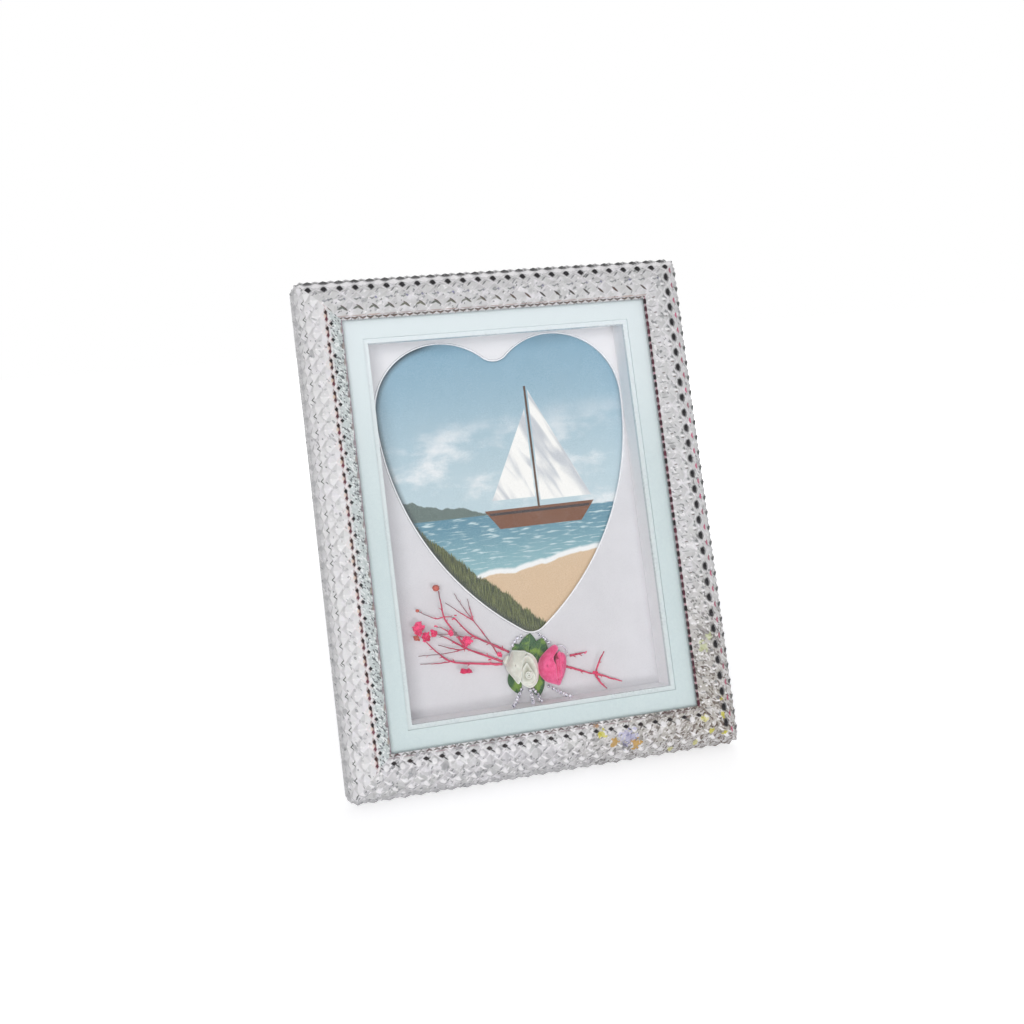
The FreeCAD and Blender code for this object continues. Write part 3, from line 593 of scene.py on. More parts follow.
# Facets: painted light and shade, tones behind and ahead on the inner side, then on the outer side. Shards:
# share of the painted reflection fragments.
# Strip and cross: between two rows. Fading: marks that begin between two columns.
# Marks are painted reflections and highlights: column, row, period, half along, half across, slant, fold,
# shape, two colours and strength.
cutSides = {
    "bottom": {
        "facets": (211, 194, 226, 200), "tint": (205, 201, 208), "shards": 0.05,
        "marks": [
            (0.5, -0.58, 1.0, 0.42, 0.11, 0.0, 0.4, 2.0, (92, 62, 64), smoke, 0.9),
            (0.0, -0.25, 2.0, 0.8, 0.08, 0.0, 0.0, 2.0, (150, 104, 112), steel, 0.6),
            (0.0, 0.42, 2.0, 0.40, 0.26, 0.1, 0.0, 1.3, ink, (44, 34, 34), 1.0),
            (0.42, 0.75, 2.0, 0.30, 0.12, 0.75, 0.0, 1.6, ink, smoke, 0.9),
            (1.0, 0.85, 2.0, 0.34, 0.40, 0.0, 0.0, 2.0, white, white, 0.9),
            (0.92, 2.72, 2.0, 0.5, 0.16, 0.5, 0.0, 1.0, white, white, 0.9),
            (-0.2, 3.95, 2.0, 0.42, 0.5, 0.4, 0.0, 1.0, white, white, 0.9),
            (0.45, 2.2, 2.0, 0.14, 0.45, -0.8, 0.0, 1.0, steel, smoke, 0.4),
            (1.3, 3.3, 2.0, 0.35, 0.3, 0.0, 0.0, 1.0, (176, 174, 182), steel, 0.4),
            (0.3, 5.2, 2.0, 0.3, 0.16, 0.5, 0.0, 2.0, steel, smoke, 0.5),
        ]},
    "right": {
        "facets": (210, 222, 206, 216), "tint": (210, 209, 212), "shards": 0.035,
        "marks": [
            (0.0, -0.58, 1.0, 0.42, 0.16, 0.0, 0.0, 2.5, ink, (98, 44, 60), 1.0),
            (0.5, -0.58, 1.0, 0.14, 0.14, 0.0, 0.0, 2.0, plum, maroon, 0.5),
            (1.0, 2.98, 2.0, 0.56, 0.54, 0.0, 0.2, 2.2, ink, ink, 1.0),
            (0.0, 3.75, 2.0, 0.40, 0.15, 0.0, 0.6, 2.0, (206, 76, 122), (150, 92, 104), 0.9),
            (-0.16, 6.1, 2.0, 0.3, 0.9, 0.0, 0.0, 3.0, ink, smoke, 1.0),
            (0.9, 5.9, 2.0, 0.16, 0.7, 0.0, 0.0, 3.0, smoke, steel, 0.7),
            (0.0, 2.0, 2.0, 0.10, 0.40, 0.0, 0.0, 2.0, white, white, 1.0),
            (0.36, 2.0, 2.0, 0.26, 0.30, 0.0, 0.0, 1.0, steel, smoke, 0.8),
            (-0.26, 2.0, 2.0, 0.08, 0.28, 0.0, 0.0, 2.0, smoke, brown, 0.8),
            (0.02, 0.72, 2.0, 0.12, 0.16, 0.0, 0.0, 2.0, white, white, 1.0),
            (0.4, 0.6, 2.0, 0.10, 0.22, 0.3, 0.0, 2.0, smoke, brown, 0.7),
            (0.02, -0.05, 2.0, 0.12, 0.16, 0.0, 0.0, 2.0, white, white, 1.0),
            (1.2, 0.35, 2.0, 0.08, 0.5, 0.3, 0.0, 2.0, steel, smoke, 0.6),
        ]},
    "top": {
        "facets": (212, 216, 220, 212), "tint": (213, 211, 214), "shards": 0.03,
        "fading": (18.0, 34.0, [(0.0, 0.85, 2.0, 0.62, 0.15, 0.12, -0.62, 2.0, olive, smoke, 1.0)]),
        "marks": [
            (0.5, -0.58, 1.0, 0.50, 0.12, 0.0, 0.3, 2.0, (98, 72, 62), (92, 84, 80), 0.9),
            (0.0, -0.28, 2.0, 0.9, 0.07, 0.0, 0.0, 2.0, (188, 146, 130), (166, 150, 150), 0.7),
            (-0.26, 0.74, 2.0, 0.44, 0.17, 0.8, 0.0, 1.6, (62, 56, 54), brown, 0.95),
            (-0.75, 3.0, 2.0, 0.36, 0.15, -0.7, 0.0, 1.6, (70, 72, 74), (176, 174, 178), 0.9),
            (0.05, 1.65, 2.0, 0.36, 0.11, 0.0, 0.5, 2.0, steel, smoke, 0.8),
            (-0.42, 1.85, 2.0, 0.16, 0.16, 0.0, 0.0, 2.0, violet, smoke, 0.7),
            (0.0, 3.72, 2.0, 0.46, 0.52, 0.15, 0.0, 1.1, ink, ink, 1.0),
            (0.0, 4.48, 2.0, 0.95, 0.42, 0.0, 0.0, 6.0, (226, 224, 228), white, 1.0),
            (1.0, 4.6, 2.0, 0.5, 0.3, 0.0, 0.0, 2.0, white, white, 1.0),
            (0.0, 5.8, 2.0, 0.62, 0.55, 0.0, 0.0, 1.3, ink, (66, 66, 68), 0.95),
            (1.0, 6.2, 2.0, 0.55, 0.4, 0.0, 0.0, 1.3, (66, 66, 68), ink, 0.8),
        ]},
    "left": {
        "facets": (230, 236, 224, 234), "tint": (232, 229, 233), "shards": 0.014,
        "strip": (-0.75, 0.75, (205, 213, 213), 0.36), "cross": (0.45, 2.2, (238, 222, 222), 0.5),
        "marks": [
            (0.98, 1.22, 2.0, 0.92, 0.19, -0.05, 0.0, 1.6, (108, 74, 60), (132, 88, 82), 0.85),
            (0.56, 1.24, 2.0, 0.42, 0.25, -0.15, 0.0, 1.2, ink, (66, 40, 38), 1.0),
            (1.50, 1.22, 2.0, 0.34, 0.25, 0.12, 0.0, 1.2, (34, 26, 28), maroon, 0.95),
            (1.06, 1.40, 2.0, 0.24, 0.16, 0.0, 0.0, 2.0, (242, 222, 222), (220, 192, 166), 0.75),
            (0.8, -0.50, 2.0, 0.5, 0.12, 0.1, 0.0, 1.6, (150, 132, 112), (128, 112, 122), 0.75),
            (0.02, 0.68, 2.0, 0.3, 0.26, 0.0, 0.0, 1.2, ink, (44, 48, 50), 1.0),
            (0.0, -0.66, 1.0, 0.6, 0.10, 0.0, 0.0, 2.0, (158, 128, 146), (142, 132, 134), 0.8),
            (1.0, 4.45, 2.0, 0.44, 0.09, 0.0, -0.85, 2.4, (70, 72, 72), smoke, 1.0),
            (0.05, 2.35, 2.0, 0.14, 0.34, 0.0, 0.0, 1.0, steel, (190, 188, 192), 0.5),
            (0.0, 2.7, 2.0, 0.9, 0.07, 0.0, 0.8, 2.0, (186, 184, 188), (200, 198, 202), 0.6),
            (1.0, 2.9, 2.0, 0.12, 0.14, 0.0, 0.0, 1.0, white, white, 0.9),
            (1.0, 2.05, 2.0, 0.14, 0.16, 0.0, 0.0, 1.0, white, white, 0.9),
            (0.0, 6.3, 1.0, 0.4, 0.5, 0.0, 0.0, 2.0, (186, 186, 188), (170, 171, 174), 0.6),
        ]},
}
# Painted reflections near the lower right corner of the moulding
paintedCornerReflections = {
    "corner": (101.5, -14.0, -129.5), "near": 0.014, "far": 0.115, "shards": 0.24, "olive": (112, 102, 88),
    "dusk": (180, 173, 162),
    # Painted coloured glints: right, up, radius, colour and strength
    "glints": [
        (90.0, -111.7, 1.7, gold, 0.85), (82.6, -118.5, 1.5, gold, 0.8), (89.8, -120.1, 1.4, gold, 0.8),
        (79.6, -111.6, 1.7, (230, 224, 122), 0.7), (90.2, -103.4, 1.2, gold, 0.7),
        (84.2, -75.9, 2.6, (212, 219, 160), 0.6), (87.8, -71.3, 2.0, (206, 216, 152), 0.6),
        (39.2, -115.5, 4.8, (176, 176, 226), 0.5), (42.9, -119.0, 3.0, amber, 0.85),
        (26.0, -111.4, 2.2, gold, 0.8), (31.5, -116.6, 2.2, amber, 0.8),
        (23.4, -107.4, 1.4, (188, 138, 74), 0.7), (75.0, -124.0, 1.5, (226, 222, 134), 0.7),
        (61.5, -125.5, 1.4, (226, 222, 134), 0.7), (36.0, -119.5, 1.6, (70, 66, 74), 0.6)],
}


def addMarks(colour, lattice, marks, share=1.0):
    for column, row, period, along, across, slant, fold, shape, first, second, strength in marks:
        mask, chance = placeGroup(treeOf(colour), latticeMark, Lattice=lattice, Column=column, Row=row,
                                  Period=period, HalfAlong=along, HalfAcross=across, Slant=slant, Fold=fold,
                                  Shape=shape)
        colour = mixed(mask * (share * strength), colour, mixed(chance, first, second))
    return colour


def makeCutLook(side):
    # Clear cut plastic over foil: what each facet mirrors of its own part of the room is painted into its
    # colour, as tones of painted light and shade and small painted dark and bright marks
    style = cutSides[side]
    look, tree, shader = newLook("clear_cut_" + side)
    lattice = valueOf(tree, "lattice", "Vector")
    column, row, _ = split(lattice)
    edge, chance, ahead, outward = placeGroup(tree, latticeCells, Lattice=lattice, Line=facets["line"])
    # Painted light and shade: each of a diamond's four facets has its own tone
    tones = [(tone,) * 3 for tone in style["facets"]]
    colour = mixed(outward, mixed(ahead, *tones[:2]), mixed(ahead, *tones[2:]))
    colour = mixed(chance * facets["tintShare"], colour, style["tint"])
    clouds = noiseAt(lattice, facets["cloudScale"])
    colour = mixed(smoothStep(clouds, *facets["cloudCover"]), colour, facets["cloud"])
    # Painted shade on the outer wall's rows
    colour = mixed(smoothStep(row, *facets["outerRows"]) * facets["wallShare"], colour, facets["outerWall"])
    # Painted highlights along some of the diamonds' edges
    colour = mixed(edge * (chance * facets["edgeShare"]), colour, facets["edge"])
    # Painted reflection towards the lower right corner: a dimmer dusk tone, more fragments, olive and gold
    # glints
    far = vectorMaths("DISTANCE", placeIn(tree), toRoom @ Vector(paintedCornerReflections["corner"]), out="Value")
    near = 1 - smoothStep(far, paintedCornerReflections["near"], paintedCornerReflections["far"])
    colour = mixed(near * (smoothStep(row, *facets["innerRows"]) * 0.45 + 0.35), colour, paintedCornerReflections["dusk"])
    share = near * paintedCornerReflections["shards"] + style["shards"]
    for scale, strength in facets["shards"]:
        dark, bright, tone = placeGroup(tree, latticeShards, Lattice=lattice, Scale=scale, Share=share)
        shade = mixed(near, mixed(tone, smoke, steel), mixed(tone, paintedCornerReflections["olive"], brown))
        colour = mixed(dark * strength, colour, shade)
        colour = mixed(bright * (near * (-0.35 * strength) + strength), colour, white)
    # Painted reflection: a strip of dark specks and bright bits between two rows
    if "strip" in style:
        low, high, paint, share = style["strip"]
        inside = smoothStep(row, low - 0.1, low) * smoothStep(row, high + 0.15, high)
        dark, bright, tone = placeGroup(tree, latticeShards, Lattice=lattice, Scale=facets["stripScale"],
                                        Share=share)
        strewn = mixed(dark, paint, mixed(tone, facets["stripDark"], steel))
        colour = mixed(inside, colour, mixed(bright, strewn, facets["stripBright"]))
    colour = addMarks(colour, lattice, style["marks"])
    if "fading" in style:
        start, end, marks = style["fading"]
        colour = addMarks(colour, lattice, marks, smoothStep(column, start, end))
    # Painted highlight lines on the diamonds' edges between two rows
    if "cross" in style:
        low, high, paint, strength = style["cross"]
        inside = smoothStep(row, low, low + 0.3) * smoothStep(row, high, high - 0.5)
        colour = mixed(edge * inside * strength, colour, paint)
    # Painted coloured glints on the bottom and right bars
    if side in ("bottom", "right"):
        spot = uprightIn(tree)
        for right, up, radius, paint, strength in paintedCornerReflections["glints"]:
            mask, = placeGroup(tree, paintedGlint, Spot=spot, Middle=(right, 0.0, up), Radius=radius)
            colour = mixed(mask * strength, colour, paint)
    fillAll(shader, {**facets, "Base Color": colour})
    return look


moulding = makeMoulding([makeCutLook(side) for side in cutSides])
print("clear moulding cut:", len(moulding.data.polygons), "faces")


# Rim, walls, mat and the plain pieces behind. Painted top light: a finish turns to this paler colour between
# two heights, paler towards the top.

finishes = {
    "foil": {"nodes": ["silver_foil"], "tones": ((206, 206, 210), (232, 232, 236)), "rough": (0.16, 0.26),
             "scale": 500.0, "bump": (0.1, 0.0002), "Metallic": 1.0},
    "mint_rim": {"nodes": ["mint_rim"], "tones": ((198, 212, 214), (204, 217, 218)), "rough": (0.28, 0.36),
                 "scale": 700.0, "bump": (0.04, 0.0002), "paler": ((222, 231, 234), -10.0, 110.0),
                 "Coat Weight": 0.25, "Coat Roughness": 0.12},
    "pearl": {"nodes": ["pearl_bead"], "tones": ((204, 213, 215), (211, 219, 220)), "rough": (0.25, 0.35),
              "scale": 900.0, "bump": (0.04, 0.0002), "paler": ((225, 232, 235), -10.0, 110.0),
              "Coat Weight": 0.2, "Coat Roughness": 0.15},
    "box_wall": {"nodes": ["box_wall_top", "box_wall_bottom", "box_wall_left", "box_wall_right"],
                 "tones": ((243, 243, 245), (249, 249, 251)), "rough": (0.5, 0.6), "scale": 900.0,
                 "bump": (0.08, 0.0002)},
    "mat": {"nodes": ["heart_mat"], "tones": ((209, 208, 212), (215, 214, 218)), "rough": (0.55, 0.7),
            "scale": 1300.0, "bump": (0.16, 0.0002), "paler": ((240, 238, 240), 0.0, 105.0)},
    "grey_card": {"nodes": ["backing_card"], "tones": ((158, 150, 138), (184, 176, 162)),
                  "rough": (0.8, 0.95), "scale": 1500.0, "bump": (0.3, 0.0002)},
    "lid_board": {"nodes": ["back_lid", "easel_leg"], "tones": ((24, 24, 27), (46, 46, 50)),
                  "rough": (0.85, 0.98), "scale": 2600.0, "bump": (0.5, 0.0002), "Sheen Weight": 0.5,
                  "Sheen Roughness": 0.4},
    "rear_frame": {"nodes": ["rear_frame"], "tones": ((206, 206, 208), (220, 220, 221)),
                   "rough": (0.38, 0.5), "scale": 1100.0, "bump": (0.15, 0.0002)},
    "plated_steel": {"nodes": ["button_screws", "hinge_lid_leaf", "hinge_leg_leaf", "hinge_pin"]
                     + sorted(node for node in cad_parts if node.startswith("turn_button")),
                     "tones": ((150, 151, 155), (204, 204, 208)), "rough": (0.22, 0.4), "scale": 600.0,
                     "stretch": (0.15, 1.0, 1.0), "bump": (0.12, 0.0002), "Metallic": 1.0},
    "rivet": {"nodes": ["lid_rivets", "leg_rivets"], "tones": ((186, 150, 96), (222, 190, 132)),
              "rough": (0.25, 0.4), "scale": 900.0, "bump": (0.1, 0.0002), "Metallic": 1.0},
}


def paintedTopLightTones(tree, tone, finish):
    # Painted light: paler towards the top of the frame
    paint, low, high = finish["paler"]
    share = smoothStep(split(uprightIn(tree))[2], low, high) * 0.9
    return mixed(share, plainTones(tree, tone, finish), paint)


def dress(node, look):
    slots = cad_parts[node].data.materials
    slots.clear()
    slots.append(look)


for name, finish in finishes.items():
    look = makeLook(name, finish, paintedTopLightTones if "paler" in finish else plainTones)
    for node in finish["nodes"]:
        dress(node, look)


# Rounded silver bead round the heart window: painted shade makes the half that looks into the window darker
# on the left

heart = {
    "halfWidth": 65.8, "lobe": 35.4, "lobeUp": 61.0, "tip": 9.2, "tipUp": -59.0, "cleft": 9.2,
    "flank": 145.95, "turn": math.radians(1.2), "front": 5.5, "bead": 0.5, "step": 0.9, "sides": 8,
    "shadeUpTo": 10.0,
    "outer": {"tones": ((238, 238, 242), (250, 250, 252)), "rough": (0.15, 0.25), "scale": 700.0,
              "bump": (0.1, 0.0002), "Metallic": 0.3},
    "inner": {"tones": ((104, 106, 112), (138, 140, 146)), "rough": (0.25, 0.4), "scale": 700.0,
              "bump": (0.1, 0.0002), "Metallic": 0.6},
}


def heartOutline():
    # Half of the heart as arcs, from the cleft over the lobe and down the flank to the tip
    lobe = Vector((heart["halfWidth"] - heart["lobe"], heart["lobeUp"]))
    reach = heart["lobe"] + heart["cleft"]
    cleft = Vector((0.0, lobe.y + math.sqrt(reach ** 2 - lobe.x ** 2)))
    flank = Vector((heart["halfWidth"] - heart["flank"], heart["lobeUp"]))
    tip = Vector((0.0, heart["tipUp"] + heart["tip"]))
    half = []

    def arc(centre, radius, start, end):
        count = max(2, int(abs(end - start) * radius / heart["step"]))
        for angle in (start + (end - start) * i / count for i in range(count)):
            half.append(Vector((centre.x + radius * math.cos(angle), centre.y + radius * math.sin(angle))))

    meet = math.atan2(lobe.y - cleft.y, lobe.x)
    arc(cleft, heart["cleft"], -math.pi / 2, meet)
    arc(lobe, heart["lobe"], meet + math.pi, 0.0)
    down = math.atan2(tip.y - flank.y, tip.x - flank.x)
    arc(flank, heart["flank"], 0.0, down)
    arc(tip, heart["tip"], down, -math.pi / 2)
    other = [Vector((-spot.x, spot.y)) for spot in reversed(half[1:])]
    sine, cosine = math.sin(heart["turn"]), math.cos(heart["turn"])
    outline = []
    for spot in half + [Vector((0.0, heart["tipUp"]))] + other:
        x, up = spot.x, spot.y - heart["lobeUp"]
        turned = (x * cosine - up * sine, heart["front"], heart["lobeUp"] + x * sine + up * cosine)
        outline.append(Vector(turned))
    return outline


def makeEdging():
    points, faces, rows = [], [], []
    count = heart["sides"]
    outline = heartOutline()
    for i, spot in enumerate(outline):
        ahead = (outline[(i + 1) % len(outline)] - outline[i - 1]).normalized()
        side = Vector((ahead.z, 0.0, -ahead.x))
        rows.append([spot + heart["bead"] * (side * math.cos(a) - Vector((0, 1, 0)) * math.sin(a))
                     for a in anglesRound(count)])
    addGrid(points, faces, rows + rows[:1], closed=True)
    # Painted shade on the inner half of the bead, on the heart's left part
    inner = [int(count / 4 + 1 <= i % count <= 3 * count / 4 and outline[i // count].x < heart["shadeUpTo"])
             for i in range(len(faces))]
    looks = [makeLook("silver_bead_" + half, heart[half]) for half in ("outer", "inner")]
    addPiece("heart_bead", "heart_edging", points, faces, looks, inner)


makeEdging()


pane = {"middle": -14.9, "thinner": 0.93, "bevel": 0.3, "mirror": 1.45, "haze": 0.012, "rough": (0.01, 0.05),
        "Base Color": (240, 246, 246), "Metallic": 1.0}


def makePaneLook():
    # Thin clear glass: it mirrors more at a slant and lets the lamps through
    look, tree, shader = newLook("pane_glass")
    front = 1 - signal(tree, "NewGeometry", out="Backfacing")
    mirror = signal(tree, "Fresnel", {"IOR": pane["mirror"]}) * front
    smears = noiseAt(placeIn(tree), 60.0, 3.0)
    fillAll(shader, {**pane, "Alpha": mirror + smoothStep(smears, 0.4, 0.8) * pane["haze"],
                     "Roughness": ranged(smears, *pane["rough"], 0.3, 0.8)})
    return look


def makePane():
    # The pane of the frame, a hair thinner so that it shares no face with the rim
    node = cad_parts["front_pane"]
    mesh = node.data.copy()
    mesh.materials.clear()
    mesh.transform(toRoom.inverted() @ node.matrix_world)
    middle = Vector((0, pane["middle"], 0))
    thinner = Matrix.Scale(pane["thinner"], 4, (0, 1, 0))
    mesh.transform(Matrix.Translation(middle) @ thinner @ Matrix.Translation(-middle))
    mesh.transform(toRoom)
    piece = addObject("clear_pane", "front_pane", mesh, [makePaneLook()], smooth=False)
    ground = piece.modifiers.new("ground edges", "BEVEL")
    ground.width = pane["bevel"] * stand["unit"]


makePane()
print("plain pieces dressed")


# Print behind the heart: a plain view of sea, clouds, a small sailing boat and dunes

view = {
    "horizon": 4.0, "sky": ((136, 172, 192), (186, 206, 214)), "cloud": (236, 238, 240),
    "cloudShade": (204, 208, 214), "headland": (96, 112, 108), "water": ((92, 138, 158), (146, 186, 192)),
    "ripple": (196, 216, 220), "sail": ((196, 200, 206), (246, 245, 242)), "surf": (238, 240, 240),
    "sand": ((196, 164, 130), (224, 200, 170)), "grass": ((44, 54, 34), (106, 112, 66)),
    # Soft shade of the mat along the heart's left side: strength, width and colour
    "shade": (0.82, 3.8, (46, 52, 60)),
    # Straight-edged parts of the boat: the colour, then each edge's point and outward direction
    "boat": [
        (None, (15.4, 9.0, 0.0, -1.0), (15.4, 9.0, -1.0, 0.0), (15.4, 68.0, 0.9, 0.42)),
        (None, (12.6, 11.0, 0.0, -1.0), (12.6, 11.0, 1.0, 0.0), (12.6, 58.0, -0.9, 0.44)),
        ((116, 72, 48), (0.0, 6.0, 0.0, 1.0), (0.0, -4.0, 0.0, -1.0), (-15.0, 6.0, -0.7, -0.5),
         (44.0, 6.0, 0.75, -0.6)),
        ((52, 40, 44), (0.0, 4.6, 0.0, 1.0), (0.0, 3.2, 0.0, -1.0), (-14.0, 6.0, -0.7, -0.5),
         (43.0, 6.0, 0.75, -0.6)),
        ((84, 58, 44), (14.6, 2.0, 1.0, 0.0), (13.4, 2.0, -1.0, 0.0), (13.0, 70.0, 0.0, 1.0),
         (13.0, 5.0, 0.0, -1.0)),
    ],
    "finish": {"scale": 1500.0, "rough": (0.22, 0.3), "Coat Weight": 0.3},
}


def paintView(tree, tone, finish):
    spot = uprightIn(tree)
    x, _, z = split(spot)
    horizon = view["horizon"]

    def scaled(across, up):
        return vectorMaths("MULTIPLY", spot, (across, 0.0, up))

    def wave(scale, height, seed, detail=3.0):
        # A wavy line along x, about nought
        return (noiseAt(signal(tree, "CombineXYZ", [x, seed, 0.0]), scale, detail) - 0.5) * height

    def below(line, soft=0.4):
        return smoothStep(line - z, -soft, soft)

    # Sky, and clouds long and low above the horizon
    colour = mixed(smoothStep(z, 95.0, horizon), *view["sky"])
    puffs = noiseAt(scaled(0.022, 0.045), 1.0, 6.0, Roughness=0.6)
    band = smoothStep(z, 66.0, 34.0) * smoothStep(puffs, 0.46, 0.66)
    colour = mixed(band, colour, view["cloud"])
    colour = mixed(band * smoothStep(puffs, 0.6, 0.8), colour, view["cloudShade"])
    colour = mixed(below(x * -0.22 + (horizon - 2.0) + wave(0.09, 9.0, 3.0)), colour, view["headland"])
    # Sea
    ripples = noiseAt(scaled(0.12, 0.9), 1.0, 4.0)
    water = mixed(smoothStep(z, horizon, -34.0), *view["water"])
    water = mixed(smoothStep(ripples, 0.52, 0.7), water, view["ripple"])
    colour = mixed(below(horizon), colour, water)
    # Sailing boat, its sails with soft folds
    bands = vectorMaths("MULTIPLY", turnedBy(spot, 0.5, "Y"), (0.16, 0.0, 0.03))
    cloth = mixed(smoothStep(noiseAt(bands, 1.0, Distortion=0.6), 0.35, 0.6), *view["sail"])
    for paint, *edges in view["boat"]:
        inside = 1.0
        for px, pz, nx, nz in edges:
            inside = inside * smoothStep(x * -nx + (z * -nz + (px * nx + pz * nz)), -0.15, 0.15)
        colour = mixed(inside, colour, paint or cloth)
    # Surf, sand and dune grass
    shore = x * 0.16 + -26.0 + wave(0.05, 10.0, 9.0)
    colour = mixed(below(shore + 2.6, 0.9), colour, view["surf"])
    colour = mixed(below(shore, 0.5), colour, mixed(noiseAt(spot, 1.6, 5.0), *view["sand"]))
    grass = noiseAt(scaled(2.4, 0.16), 1.0, 3.0)
    tufts = x * -0.9 + -50.0 + wave(0.12, 9.0, 5.0, 4.0) + grass * 8.0
    colour = mixed(below(tufts, 0.5), colour, mixed(smoothStep(grass, 0.4, 0.62), *view["grass"]))
    # Shade of the mat: inwards from the lobe's arc above, and from the flank's below
    up = heart["lobeUp"]
    turned = turnedBy(spot, heart["turn"], "Y", (0.0, 0.0, up))
    flat = vectorMaths("MULTIPLY", turned, (1.0, 0.0, 1.0))
    lobeGap, flankGap = [
        radius - vectorMaths("DISTANCE", flat, (radius - heart["halfWidth"], 0.0, up), out="Value")
        for radius in (heart["lobe"], heart["flank"])]
    lower = smoothStep(split(turned)[2], up + 1.0, up - 1.0)
    gap = lobeGap + lower * (flankGap - lobeGap)
    onLeft = smoothStep(x + (1 - lower) * heart["lobe"], 8.0, -6.0)
    strength, width, paint = view["shade"]
    return mixed(smoothStep(gap, width, 0.0) * onLeft * strength, colour, paint)


dress("picture", makeLook("seaside_print", view["finish"], paintView))
print("print painted")


# Foam roses, built up from puffed petals. Places: right, forward of the mat, up

